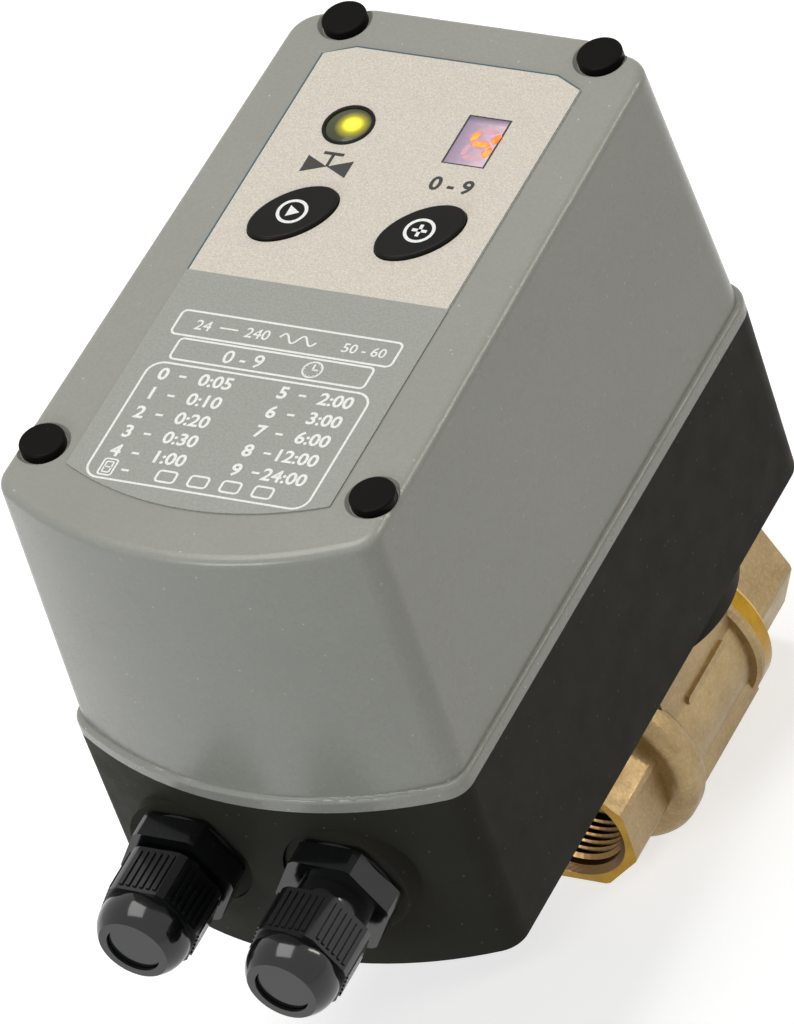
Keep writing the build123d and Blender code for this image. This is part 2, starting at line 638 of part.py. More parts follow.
def valve_block():
    """Cast block round the ball, with a flat milled top and chamfered long edges."""
    length = COLLAR_FRONT_Y - BLOCK_FRONT_Y
    half, edge = BLOCK_HALF_WIDTH, BLOCK_EDGE
    section = Polyline((-half, BLOCK_BOTTOM + edge), (-half + edge, BLOCK_BOTTOM),
                       (half - edge, BLOCK_BOTTOM), (half, BLOCK_BOTTOM + edge),
                       (half, BLOCK_TOP - edge), (half - edge / 2, BLOCK_TOP),
                       (-half + edge / 2, BLOCK_TOP), (-half, BLOCK_TOP - edge), close=True)
    face = Plane(origin=(0, COLLAR_FRONT_Y, 0), x_dir=(1, 0, 0), z_dir=(0, -1, 0))
    body = extrude(face * make_face(section), length + 2)
    top = PAD_TOP - BLOCK_TOP
    pad = block(0, BALL_Y, BLOCK_TOP, (2 * half - edge, 2 * PAD_HALF_LENGTH, top))
    return fillet(body.edges().filter_by(Axis.Y), 1.0) + pad


def side_ribs():
    """Raised plain ribs on the block's right-hand side."""
    ribs = []
    for row in range(RIB_COUNT):
        z = (row - (RIB_COUNT - 1) / 2) * RIB_PITCH
        rib = Box(2 * RIB_DEPTH, RIB_LENGTH, RIB_HEIGHT)
        rib = fillet(rib.edges().filter_by(Axis.X), RIB_HEIGHT / 2 - 0.05)
        ribs.append(Pos(BLOCK_HALF_WIDTH, BALL_Y - 2, z + RIB_RISE) * rib)
    return ribs


def valve_body():
    body = prism_y(0, 0, 0, PORT_FLATS, 8, PORT_PRISM + 3)
    corner_round = rod_y(0, 0, 0, PORT_CORNER_R, PORT_PRISM + 3)
    body &= corner_round
    neck_length = COLLAR_FRONT_Y - PORT_PRISM
    body += rod_y(0, PORT_PRISM, 0, NECK_R, neck_length)
    bulge = rod_y(0, PORT_PRISM - 1, 0, BULGE_R, 2 * BULGE_HALF)
    bulge = fillet(bulge.edges().filter_by(GeomType.CIRCLE), BULGE_HALF - 1.2)
    collar = rod_y(0, COLLAR_FRONT_Y - 2, 0, COLLAR_R, COLLAR_BACK_Y - COLLAR_FRONT_Y + 2)
    collar = chamfer(collar.edges().filter_by(GeomType.CIRCLE), 0.8)
    body += bulge + collar + valve_block()
    for rib in side_ribs():
        body += rib
    body -= port_bore(0, 1)
    inlet_shoulder = BALL_Y - SEAT_FAR
    body -= rod_y(0, inlet_shoulder, 0, CAVITY_R, BALL_Y + SEAT_FAR - inlet_shoulder)
    body -= rod_y(0, BALL_Y + SEAT_FAR, 0, CAP_PLUG_R, COLLAR_BACK_Y)
    body -= disc(*DRIVE_AXIS, 0, STEM_R + RUNNING, PAD_TOP + 1)
    body -= disc(*DRIVE_AXIS, 0, STEM_COLLAR_R + LOOSE, STEM_COLLAR_TOP + THRUST_WASHER)
    body -= disc(*DRIVE_AXIS, PACKING_FLOOR, PACKING_R, PAD_TOP)
    for x, y in circle_points(PAD_SCREW_CIRCLE_R, 4):
        body -= disc(x, y, PAD_TOP - PAD_SCREW_DEPTH, SCREW_R, PAD_SCREW_DEPTH + 1)
    return body


def end_cap():
    """Screwed end with the outlet port, turned round its own thread to where it tightened."""
    start = COLLAR_BACK_Y + END_CAP_GAP
    cap = prism_y(0, start, 0, PORT_FLATS, 8, VALVE_LENGTH - start, CAP_CLOCKING)
    cap &= rod_y(0, start, 0, PORT_CORNER_R, VALVE_LENGTH - start)
    cap += rod_y(0, BALL_Y + SEAT_FAR, 0, CAP_PLUG_R, start - BALL_Y - SEAT_FAR)
    return cap - port_bore(VALVE_LENGTH, -1)


def body_seal():
    """Sealing ring squeezed between the end cap and the body's collar."""
    ring = rod_y(0, COLLAR_BACK_Y, 0, CAP_PLUG_R + SEAL_WIDTH, END_CAP_GAP)
    return ring - rod_y(0, COLLAR_BACK_Y - 1, 0, CAP_PLUG_R, END_CAP_GAP + 2)


def seats():
    rings = []
    for direction in (-1, 1):
        near = BALL_Y + direction * SEAT_NEAR
        far = BALL_Y + direction * SEAT_FAR
        start, length = min(near, far), abs(far - near)
        ring = rod_y(0, start, 0, CAVITY_R, length) - rod_y(0, start - 1, 0, BALL_BORE_R, length + 2)
        rings.append(ring - Pos(0, BALL_Y, 0) * Sphere(BALL_R + RUNNING))
    return rings


def ball():
    sphere = Pos(0, BALL_Y, 0) * Sphere(BALL_R)
    sphere -= rod_y(0, BALL_Y - BALL_R - 1, 0, BALL_BORE_R, 2 * BALL_R + 2)
    slot_depth = BALL_R + 1 - STEM_TONGUE_FOOT + 0.2
    slot = (4 * BALL_R, STEM_TONGUE + 0.1, slot_depth)
    return sphere - block(0, BALL_Y, BALL_R + 1 - slot_depth, slot)


def stem():
    x, y = DRIVE_AXIS
    body = disc(x, y, STEM_COLLAR_FOOT, STEM_COLLAR_R, STEM_COLLAR_TOP - STEM_COLLAR_FOOT)
    body += disc(x, y, STEM_COLLAR_TOP, STEM_R, STEM_SHOULDER - STEM_COLLAR_TOP)
    tongue = disc(x, y, STEM_TONGUE_FOOT, STEM_COLLAR_R, STEM_COLLAR_FOOT - STEM_TONGUE_FOOT)
    body += tongue & block(x, y, 0, (4 * STEM_R, STEM_TONGUE, STEM_COLLAR_TOP))
    square = block(x, y, STEM_SHOULDER, (STEM_SQUARE, STEM_SQUARE, STEM_TOP - STEM_SHOULDER))
    body += square & disc(x, y, STEM_SHOULDER, STEM_R, STEM_TOP - STEM_SHOULDER)
    return body


def thrust_washer():
    return tube(*DRIVE_AXIS, STEM_COLLAR_TOP, STEM_COLLAR_R, STEM_R + RUNNING, THRUST_WASHER)


def stem_packing():
    rings = []
    for ring in range(PACKING_RINGS):
        z = PACKING_FLOOR + ring * PACKING_RING
        rings.append(tube(*DRIVE_AXIS, z, PACKING_R, STEM_R + RUNNING, PACKING_RING - 0.05))
    return rings


def packing_nut():
    x, y = DRIVE_AXIS
    foot = PACKING_FLOOR + PACKING_RINGS * PACKING_RING
    nut = hex_prism(x, y, PAD_TOP + 0.2, PACKING_NUT_FLATS, PACKING_NUT_HEIGHT)
    nut += disc(x, y, foot, PACKING_R, PAD_TOP + 0.2 - foot)
    return nut - disc(x, y, foot - 1, STEM_R + LOOSE, 20)


# ---- Adapter between valve and housing ---------------------------------------------------------------
def valve_adapter():
    x, y = DRIVE_AXIS
    height = BASE_BOTTOM - PAD_TOP
    body = disc(x, y, PAD_TOP, ADAPTER_R, height)
    body = fillet(body.edges().group_by(Axis.Z)[0], 0.8)
    body -= disc(x, y, PAD_TOP + ADAPTER_WEB, ADAPTER_WELL_R, height)
    body -= disc(x, y, PAD_TOP - 1, ADAPTER_WEB_HOLE_R, height)
    for px, py in circle_points(PAD_SCREW_CIRCLE_R, 4):
        body -= disc(px, py, PAD_TOP - 1, SCREW_R + LOOSE, ADAPTER_WEB + 2)
    for px, py in circle_points(BASE_SCREW_CIRCLE_R, 4, start=0):
        body -= disc(px, py, BASE_BOTTOM - BASE_SCREW_BITE, SCREW_R, height)
    return body


def pad_screws():
    return [socket_screw(x, y, PAD_TOP + ADAPTER_WEB, ADAPTER_WEB + PAD_SCREW_DEPTH - 1)
            for x, y in circle_points(PAD_SCREW_CIRCLE_R, 4)]


def base_screws():
    return [socket_screw(x, y, FLOOR_TOP, BASE_WALL + BASE_SCREW_BITE - 1)
            for x, y in circle_points(BASE_SCREW_CIRCLE_R, 4, start=0)]


# ---- Gears --------------------------------------------------------------------------------------------
def involute_point(base_radius, radius, half_angle, side):
    """Point of a tooth's flank at a radius, on one side of the tooth's centreline."""
    roll = sqrt(max((radius / base_radius) ** 2 - 1, 0.0))
    angle = side * (half_angle - (roll - atan2(roll, 1)))
    return (radius * cos(angle), radius * sin(angle))


def gear(module, teeth, width, bore_radius, phase):
    """Involute spur gear standing on z = 0, with a tooth's centre at phase degrees."""
    pitch_radius = module * teeth / 2
    base_radius = pitch_radius * cos(PRESSURE_ANGLE)
    root_radius = pitch_radius - 1.25 * module
    tip_radius = pitch_radius + module
    involute = tan(PRESSURE_ANGLE) - PRESSURE_ANGLE
    half_angle = pi / (2 * teeth) - BACKLASH / (4 * pitch_radius) + involute
    start_radius = max(base_radius, root_radius + 0.02)
    middle_radius = (start_radius + tip_radius) / 2
    flanks = []
    for side in (-1, 1):
        flanks.append([involute_point(base_radius, r, half_angle, side)
                       for r in (start_radius, middle_radius, tip_radius)])
    foot_angle = abs(atan2(flanks[1][0][1], flanks[1][0][0]))
    foot = (root_radius * cos(foot_angle), root_radius * sin(foot_angle))
    sunk = (root_radius - module / 2) * cos(foot_angle)
    tooth = ThreePointArc(*flanks[0]) + Line(flanks[0][2], flanks[1][2]) + ThreePointArc(*flanks[1][::-1])
    tooth += Polyline(flanks[1][0], foot, (sunk, foot[1]), (sunk, -foot[1]), (foot[0], -foot[1]), flanks[0][0])
    tooth = make_face(tooth)
    ring = [Rot(0, 0, phase + 360 * i / teeth) * tooth for i in range(teeth)]
    outline = Sketch() + Circle(root_radius) + ring
    return extrude(outline - Circle(bore_radius), width)


def facing_phase(teeth, direction, tooth):
    """Phase that puts a tooth, or a gap, of a gear in a direction."""
    return direction if tooth else direction + 180 / teeth


def output_gear():
    phase = facing_phase(OUTPUT_TEETH, SECOND_DIRECTION, True)
    wheel = gear(OUTPUT_MODULE, OUTPUT_TEETH, OUTPUT_FACE, 0.1, phase)
    wheel = Pos(*DRIVE_AXIS, OUTPUT_GEAR_Z) * wheel
    wheel -= spindle_square(OUTPUT_GEAR_Z - 1, OUTPUT_FACE + 2)
    for x, y in circle_points(WEB_HOLE_CIRCLE_R, 5, start=90):
        wheel -= disc(x, y, OUTPUT_GEAR_Z - 1, WEB_HOLE_R, OUTPUT_FACE + 2)
    return wheel


def compound_gear(axis, pinion, wheel, wheel_z):
    """Pinion and wheel in one piece: each is (module, teeth, face, phase)."""
    module, teeth, face, phase = pinion
    pinion_z = wheel_z - face
    body = Pos(*axis, pinion_z) * gear(module, teeth, face, GEAR_PIN_R + RUNNING, phase)
    module, teeth, face, phase = wheel
    return body + Pos(*axis, wheel_z) * gear(module, teeth, face, GEAR_PIN_R + RUNNING, phase)


def second_gear():
    pinion_phase = facing_phase(SECOND_PINION_TEETH, SECOND_DIRECTION + 180, False)
    wheel_phase = facing_phase(SECOND_WHEEL_TEETH, FIRST_DIRECTION, True)
    pinion = (OUTPUT_MODULE, SECOND_PINION_TEETH, OUTPUT_FACE + 1.0, pinion_phase)
    wheel = (SECOND_MODULE, SECOND_WHEEL_TEETH, WHEEL_FACE, wheel_phase)
    return compound_gear(SECOND_AXIS, pinion, wheel, SECOND_WHEEL_Z)


def first_gear():
    pinion_phase = facing_phase(FIRST_PINION_TEETH, FIRST_DIRECTION + 180, False)
    wheel_phase = facing_phase(FIRST_WHEEL_TEETH, MOTOR_DIRECTION, True)
    pinion = (SECOND_MODULE, FIRST_PINION_TEETH, WHEEL_FACE + 1.0, pinion_phase)
    wheel = (FIRST_MODULE, FIRST_WHEEL_TEETH, WHEEL_FACE, wheel_phase)
    return compound_gear(FIRST_AXIS, pinion, wheel, FIRST_WHEEL_Z)


def motor_pinion():
    phase = facing_phase(MOTOR_PINION_TEETH, MOTOR_DIRECTION + 180, False)
    face = WHEEL_FACE + 1.0
    pinion = Pos(*MOTOR_AXIS, FIRST_WHEEL_Z - 0.5) * gear(FIRST_MODULE, MOTOR_PINION_TEETH, face, 0.1, phase)
    shaft_foot = FIRST_WHEEL_Z - 0.5
    shaft = disc(*MOTOR_AXIS, shaft_foot, MOTOR_SHAFT_R, PLATE_TOP + MOTOR_SHAFT_SUNK - shaft_foot)
    return pinion + shaft


# ---- Gear motor and drive ------------------------------------------------------------------------------
def plate_corner_points():
    return [(x, y) for x in (PLATE_LEFT, PLATE_RIGHT) for y in (PLATE_FRONT, PLATE_REAR)]


def gear_plate(z):
    width, length = PLATE_RIGHT - PLATE_LEFT, PLATE_REAR - PLATE_FRONT
    plan = RectangleRounded(width + 2 * PLATE_MARGIN, length + 2 * PLATE_MARGIN, PLATE_MARGIN)
    middle = Pos((PLATE_LEFT + PLATE_RIGHT) / 2, (PLATE_FRONT + PLATE_REAR) / 2, z)
    plate = extrude(middle * plan, PLATE_THICK)
    for x, y in plate_corner_points():
        plate -= disc(x, y, z - 1, PLATE_SCREW_R + LOOSE, PLATE_THICK + 2)
    for x, y in (SECOND_AXIS, FIRST_AXIS):
        plate -= disc(x, y, z - 1, GEAR_PIN_R, PLATE_THICK + 2)
    return plate


def lower_plate():
    return gear_plate(LOWER_PLATE) - disc(*DRIVE_AXIS, LOWER_PLATE - 1, COUPLING_R + LOOSE, PLATE_THICK + 2)


def upper_plate():
    plate = gear_plate(UPPER_PLATE)
    plate -= disc(*DRIVE_AXIS, UPPER_PLATE - 1, SPINDLE_R + RUNNING, PLATE_THICK + 2)
    return plate - disc(*MOTOR_AXIS, UPPER_PLATE - 1, MOTOR_BOSS_R, PLATE_THICK + 2)


def plate_pillars():
    return [tube(x, y, LOWER_PLATE + PLATE_THICK, POST_R, PLATE_SCREW_R + LOOSE, PLATE_GAP)
            for x, y in plate_corner_points()]


def plate_screws():
    """Long screws through both plates; the front pair's heads are the power board's spacers."""
    screws = []
    for x, y in plate_corner_points():
        screw = disc(x, y, FLOOR_TOP, PLATE_SCREW_R, PLATE_TOP - FLOOR_TOP)
        screws.append(screw + disc(x, y, PLATE_TOP, POST_R - 0.8, 1.8))
    return screws


def gear_pins():
    length = PLATE_TOP - LOWER_PLATE
    return [disc(x, y, LOWER_PLATE, GEAR_PIN_R, length) for x, y in (SECOND_AXIS, FIRST_AXIS)]


def motor():
    x, y = MOTOR_AXIS
    can = disc(x, y, PLATE_TOP, MOTOR_R, MOTOR_LENGTH)
    can = fillet(can.edges().group_by(Axis.Z)[-1], 1.5)
    for direction in MOTOR_EAR_DIRECTIONS:
        ex, ey = step_along(MOTOR_AXIS, direction, MOTOR_R + 2.0)
        can += disc(ex, ey, PLATE_TOP, MOTOR_EAR_R, MOTOR_EAR_THICK)
        can -= disc(ex, ey, PLATE_TOP - 1, PLATE_SCREW_R, MOTOR_EAR_THICK + 2)
    can += disc(x, y, UPPER_PLATE, MOTOR_BOSS_R, PLATE_THICK)
    return can - disc(x, y, UPPER_PLATE - 1, MOTOR_SHAFT_R + RUNNING, PLATE_THICK + 1 + MOTOR_SHAFT_SUNK + 0.5)


def drive_bush():
    x, y = DRIVE_AXIS
    bush = disc(x, y, BASE_BOTTOM, BUSH_R, BASE_WALL) + disc(x, y, FLOOR_TOP, BUSH_R + 2, BUSH_FLANGE)
    return bush - disc(x, y, BASE_BOTTOM - 1, COUPLING_R + RUNNING, BASE_WALL + BUSH_FLANGE + 2)


def spindle_square(z, height):
    return block(*DRIVE_AXIS, z, (SPINDLE_SQUARE, SPINDLE_SQUARE, height))


def drive_shaft():
    """Socket for the stem, square for the output gear, and spindle for the cams."""
    x, y = DRIVE_AXIS
    foot = STEM_SHOULDER + LOOSE
    shaft = disc(x, y, foot, COUPLING_R, OUTPUT_GEAR_Z - foot)
    shaft += spindle_square(OUTPUT_GEAR_Z, OUTPUT_FACE)
    above = OUTPUT_GEAR_Z + OUTPUT_FACE
    shaft += disc(x, y, above, SPINDLE_R, CAM_STACK_Z + 2 * CAM_THICK + CAM_GAP + 2.0 - above)
    socket = (STEM_SQUARE + 0.1, STEM_SQUARE + 0.1, STEM_TOP + 0.3 - foot)
    return shaft - block(x, y, foot, socket)


def switch_cams():
    cams = []
    for level, notch_direction in enumerate(CAM_NOTCH_DIRECTIONS):
        z = CAM_STACK_Z + level * (CAM_THICK + CAM_GAP)
        cam = tube(*DRIVE_AXIS, z, CAM_R, SPINDLE_R, CAM_THICK)
        nx, ny = step_along(DRIVE_AXIS, notch_direction, CAM_R + CAM_NOTCH)
        cams.append(cam - disc(nx, ny, z - 1, 2 * CAM_NOTCH, CAM_THICK + 2))
    return cams


def limit_switches():
    """Two snap switches stacked beside the cams, one to each cam."""
    switches = []
    x = CAM_R + SWITCH_PLUNGER + SWITCH_WIDTH / 2
    for level in range(2):
        z = CAM_STACK_Z + level * (CAM_THICK + CAM_GAP) + (CAM_THICK - SWITCH_THICK) / 2
        body = block(x, BALL_Y, z, (SWITCH_WIDTH, SWITCH_LENGTH, SWITCH_THICK))
        middle = z + SWITCH_THICK / 2
        nub = Pos(CAM_R + SWITCH_PLUNGER / 2 + 0.15, BALL_Y, middle) * Box(SWITCH_PLUNGER, 2.0, 2.6)
        for end in (-1, 1):
            body -= disc(x + 2, BALL_Y + end * SWITCH_HOLE_Y, z - 1, SWITCH_SCREW_R, SWITCH_THICK + 2)
        switches.append(body + nub)
    return switches


def switch_screws():
    x = CAM_R + SWITCH_PLUNGER + SWITCH_WIDTH / 2 + 2
    top = CAM_STACK_Z + CAM_THICK + CAM_GAP + (CAM_THICK + SWITCH_THICK) / 2
    screws = []
    for end in (-1, 1):
        y = BALL_Y + end * SWITCH_HOLE_Y
        screw = disc(x, y, PLATE_TOP, SWITCH_SCREW_R, top - PLATE_TOP)
        screws.append(screw + disc(x, y, top, SWITCH_SCREW_R + 0.9, 1.4))
    return screws


def switch_spacer():
    """Bracket that lifts the lower switch off the gear plate to its cam."""
    x = CAM_R + SWITCH_PLUNGER + SWITCH_WIDTH / 2
    low = CAM_STACK_Z + (CAM_THICK - SWITCH_THICK) / 2
    body = block(x, BALL_Y, PLATE_TOP, (SWITCH_WIDTH, SWITCH_LENGTH, low - PLATE_TOP))
    for end in (-1, 1):
        body -= disc(x + 2, BALL_Y + end * SWITCH_HOLE_Y, PLATE_TOP - 1, SWITCH_SCREW_R, 20)
    return body


# ---- Power board -------------------------------------------------------------------------------------
def front_board_points():
    y = POWER_BOARD_FRONT + POWER_BOARD_HOLE
    return [(PLATE_LEFT, y), (PLATE_RIGHT, y)]


def rear_board_points():
    return [(PLATE_LEFT, PLATE_FRONT), (PLATE_RIGHT, PLATE_FRONT)]


def power_board():
    length = PLATE_FRONT + POWER_BOARD_HOLE - POWER_BOARD_FRONT
    width = PLATE_RIGHT - PLATE_LEFT + 2 * POWER_BOARD_HOLE
    middle = ((PLATE_LEFT + PLATE_RIGHT) / 2, POWER_BOARD_FRONT + length / 2)
    board = block(*middle, POWER_BOARD_Z, (width, length, BOARD_THICK))
    for x, y in front_board_points() + rear_board_points():
        board -= disc(x, y, POWER_BOARD_Z - 1, BOARD_SCREW_R + LOOSE, BOARD_THICK + 2)
    return board


def board_spacers():
    front = [disc(x, y, PLATE_TOP, POST_R - 0.8, POWER_BOARD_Z - PLATE_TOP)
             for x, y in front_board_points()]
    rear = [disc(x, y, PLATE_TOP + 1.8, POST_R - 0.8, POWER_BOARD_Z - PLATE_TOP - 1.8)
            for x, y in rear_board_points()]
    return front + rear


def power_board_screws():
    return [disc(x, y, POWER_BOARD_TOP, 2.4, 1.6) + disc(x, y, POWER_BOARD_Z, BOARD_SCREW_R, BOARD_THICK)
            for x, y in front_board_points() + rear_board_points()]


def on_board(x, y, size):
    return block(HOUSING_X + x, HOUSING_Y + y, POWER_BOARD_TOP, size)


def transformer():
    width, length, height = TRANSFORMER
    core = on_board(*TRANSFORMER_AT, (width * 0.62, length, height))
    return core + on_board(*TRANSFORMER_AT, (width, length * 0.62, height * 0.86))


def relay():
    body = on_board(*RELAY_AT, RELAY)
    return fillet(body.edges().filter_by(Axis.Z), 0.8)


def terminal_block():
    width, length, height = TERMINAL
    body = on_board(*TERMINAL_AT, TERMINAL)
    pitch = width / TERMINAL_WAYS
    for way in range(TERMINAL_WAYS):
        x = HOUSING_X + TERMINAL_AT[0] + (way - (TERMINAL_WAYS - 1) / 2) * pitch
        y = HOUSING_Y + TERMINAL_AT[1]
        body -= disc(x, y + length / 4, POWER_BOARD_TOP + height - 3, pitch * 0.32, 4)
        body -= rod_y(x, y - length / 2 - 1, POWER_BOARD_TOP + height * 0.35, pitch * 0.3, length * 0.6)
    return body


def fuse():
    z = POWER_BOARD_TOP + FUSE_R + 1.2
    x, y = HOUSING_X + FUSE_AT[0], HOUSING_Y + FUSE_AT[1]
    body = rod_y(x, y - FUSE_LENGTH / 2, z, FUSE_R, FUSE_LENGTH)
    for end in (-1, 1):
        body += block(x, y + end * (FUSE_LENGTH / 2 - 2.5), POWER_BOARD_TOP, (5.8, 4.0, FUSE_R + 1.2))
    return body


def capacitor():
    x, y = HOUSING_X + CAPACITOR_AT[0], HOUSING_Y + CAPACITOR_AT[1]
    can = disc(x, y, POWER_BOARD_TOP, CAPACITOR_R, CAPACITOR_HEIGHT)
    return fillet(can.edges().group_by(Axis.Z)[-1], 0.8)


# ---- Cable glands --------------------------------------------------------------------------------------
def gland_tube(low, high, outer, inner):
    length = high - low
    return Pos(0, 0, low + length / 2) * (Cylinder(outer, length) - Cylinder(inner, length + 2))


def gland_body(side):
    hexagon = extrude(Pos(0, 0, GLAND_WASHER) * RegularPolygon(GLAND_BODY_FLATS / 2, 6, major_radius=False),
                      GLAND_BODY_HEX)
    hexagon &= Pos(0, 0, GLAND_WASHER + GLAND_BODY_HEX / 2) * Cylinder(GLAND_BODY_ROUND_R, GLAND_BODY_HEX)
    top = GLAND_WASHER + GLAND_BODY_HEX
    body = hexagon + gland_tube(-GLAND_TAIL, top + GLAND_NECK, GLAND_THREAD_R, GLAND_BORE_R)
    fingers = Pos(0, 0, top + GLAND_NECK + GLAND_FINGERS / 2) * Cone(
        GLAND_THREAD_R - 0.4, GLAND_FINGER_TIP_R, GLAND_FINGERS)
    body += fingers
    seal_room = gland_tube(top + 2, top + GLAND_NECK + GLAND_FINGERS + 1, GLAND_SEAL_R, 0.001)
    body -= Cylinder(GLAND_BORE_R, 80)
    body -= seal_room
    for slot in range(3):
        cut = Box(1.0, 4 * GLAND_THREAD_R, GLAND_FINGERS + 0.2)
        body -= Rot(0, 0, slot * 60) * Pos(0, 0, top + GLAND_NECK + GLAND_FINGERS / 2 + 0.1) * cut
    return gland_place(side) * body


def gland_washer(side):
    return gland_place(side) * gland_tube(0, GLAND_WASHER, GLAND_THREAD_R + 2.6, GLAND_THREAD_R)


def gland_locknut(side):
    inner_face = -(GLAND_SPOT_STAND + BASE_WALL + GLAND_PAD_EXTRA)
    hexagon = RegularPolygon(LOCKNUT_FLATS / 2, 6, major_radius=False)
    nut = extrude(Pos(0, 0, inner_face - LOCKNUT_THICK) * hexagon, LOCKNUT_THICK)
    return gland_place(side) * (nut - Cylinder(GLAND_THREAD_R, 60))


def gland_seal(side):
    top = GLAND_WASHER + GLAND_BODY_HEX
    length_top = top + GLAND_NECK + GLAND_FINGERS - 0.4
    return gland_place(side) * gland_tube(top + 2, length_top, GLAND_SEAL_R, GLAND_PLUG_R)


def gland_nut_foot(side):
    return GLAND_WASHER + GLAND_BODY_HEX + GLAND_NUT_GAP[side]


def gland_slip_ring(side):
    """Ring that the turning nut pushes along, between its dome and the fingers."""
    foot = gland_nut_foot(side) + GLAND_NUT_LENGTH - GLAND_DOME_WALL - SLIP_RING
    return gland_place(side) * gland_tube(foot, foot + SLIP_RING - 0.05, GLAND_MOUTH_R + 0.6, GLAND_MOUTH_R)


def gland_nut(side):
    foot = gland_nut_foot(side)
    half = GLAND_NUT_FLATS / 2
    hexagon = extrude(Pos(0, 0, foot) * RegularPolygon(half, 6, major_radius=False), GLAND_NUT_HEX)
    hexagon &= Pos(0, 0, foot + GLAND_NUT_HEX / 2) * Cylinder(GLAND_NUT_ROUND_R, GLAND_NUT_HEX)
    flat = 2 * half * tan(radians(30)) * 0.8
    pitch = flat / GLAND_NUT_RIBS
    for face in range(6):
        for rib in range(GLAND_NUT_RIBS):
            across = (rib - (GLAND_NUT_RIBS - 1) / 2) * pitch
            strip = Pos(across, half, foot + GLAND_NUT_HEX / 2) * Box(pitch * 0.5, 0.7, GLAND_NUT_HEX - 2)
            hexagon += Rot(0, 0, face * 60) * strip
    shoulder = foot + GLAND_NUT_HEX
    tip = foot + GLAND_NUT_LENGTH
    profile = Polyline((0, shoulder), (half - 0.3, shoulder)) + ThreePointArc(
        (half - 0.3, shoulder), (half - 0.6, shoulder + 0.62 * (tip - shoulder)),
        (GLAND_DOME_R - 0.9, tip)) + Polyline((GLAND_DOME_R - 0.9, tip), (0, tip), (0, shoulder))
    dome = revolve(Plane.XZ * make_face(profile), Axis.Z)
    room_top = tip - GLAND_DOME_WALL
    nut = hexagon + dome
    nut -= Pos(0, 0, (foot - 1 + room_top) / 2) * Cylinder(GLAND_THREAD_R + 0.1, room_top - foot + 1)
    return gland_place(side) * (nut - Pos(0, 0, tip) * Cylinder(GLAND_MOUTH_R, 10))


def gland_plug(side):
    """Blanking pin that keeps dirt out while no cable is fitted."""
    face = gland_nut_foot(side) + GLAND_NUT_LENGTH - 0.8
    low = GLAND_WASHER + GLAND_BODY_HEX + 2
    plug = gland_tube(low, face, GLAND_PLUG_R, 0.001)
    plug += Pos(0, 0, face - 0.75) * Cylinder(GLAND_MOUTH_R - 0.2, 1.5)
    return gland_place(side) * plug


# ---- Write one file for each node ---------------------------------------------------------------------
NODES = {
    "base": base,
    "cover": cover,
    "housing_gasket": housing_gasket,
    "cover_screws": cover_screws,
    "screw_caps": screw_caps,
    "face_film": face_film,
    "led_bezel": led_bezel,
    "led_lens": led_lens,
    "status_led": status_led,
    "display_module": display_module,
    "display_window": display_window,
    "test_key": lambda: key(-1),
    "set_key": lambda: key(1),
    "test_plunger": lambda: key_plunger(-1),
    "set_plunger": lambda: key_plunger(1),
    "key_switches": key_switches,
    "face_board": face_board,
    "power_board": power_board,
    "board_spacers": board_spacers,
    "board_screws": lambda: face_board_screws() + power_board_screws(),
    "transformer": transformer,
    "relay": relay,
    "terminal_block": terminal_block,
    "fuse": fuse,
    "capacitor": capacitor,
    "motor": motor,
    "motor_pinion": motor_pinion,
    "first_gear": first_gear,
    "second_gear": second_gear,
    "output_gear": output_gear,
    "gear_pins": gear_pins,
    "lower_plate": lower_plate,
    "upper_plate": upper_plate,
    "plate_pillars": plate_pillars,
    "plate_screws": plate_screws,
    "drive_bush": drive_bush,
    "drive_shaft": drive_shaft,
    "switch_cams": switch_cams,
    "limit_switches": limit_switches,
    "switch_spacer": switch_spacer,
    "switch_screws": switch_screws,
    "valve_adapter": valve_adapter,
    "adapter_screws": lambda: pad_screws() + base_screws(),
    "valve_body": valve_body,
    "end_cap": end_cap,
    "body_seal": body_seal,
    "seats": seats,
    "ball": ball,
    "stem": stem,
    "stem_seals": lambda: [thrust_washer()] + stem_packing(),
    "packing_nut": packing_nut,
    "gland_bodies": lambda: [gland_body(side) for side in SIDES],
    "gland_washers": lambda: [gland_washer(side) for side in SIDES],
    "gland_locknuts": lambda: [gland_locknut(side) for side in SIDES],
    "gland_seals": lambda: [gland_seal(side) for side in SIDES],
    "gland_plugs": lambda: [gland_plug(side) for side in SIDES],
}
MOVING_GLAND_PIECES = {
    "gland_nut": gland_nut,
    "slip_ring": gland_slip_ring,
}
for name, maker in MOVING_GLAND_PIECES.items():
    for side in SIDES:
        NODES[f"{name}_{side}"] = lambda maker=maker, side=side: maker(side)

os.makedirs("parts", exist_ok=True)
for name, maker in NODES.items():
    shape = maker()
    solids = shape if isinstance(shape, list) else [shape]
    children = [solid for piece in solids for solid in piece.solids()]
    node = children[0] if len(children) == 1 else Compound(children=children)
    export_step(node, f"parts/{name}.step")
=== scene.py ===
import bpy
import bmesh
import json
from math import cos, pi, radians, sin
from mathutils import Matrix, Vector


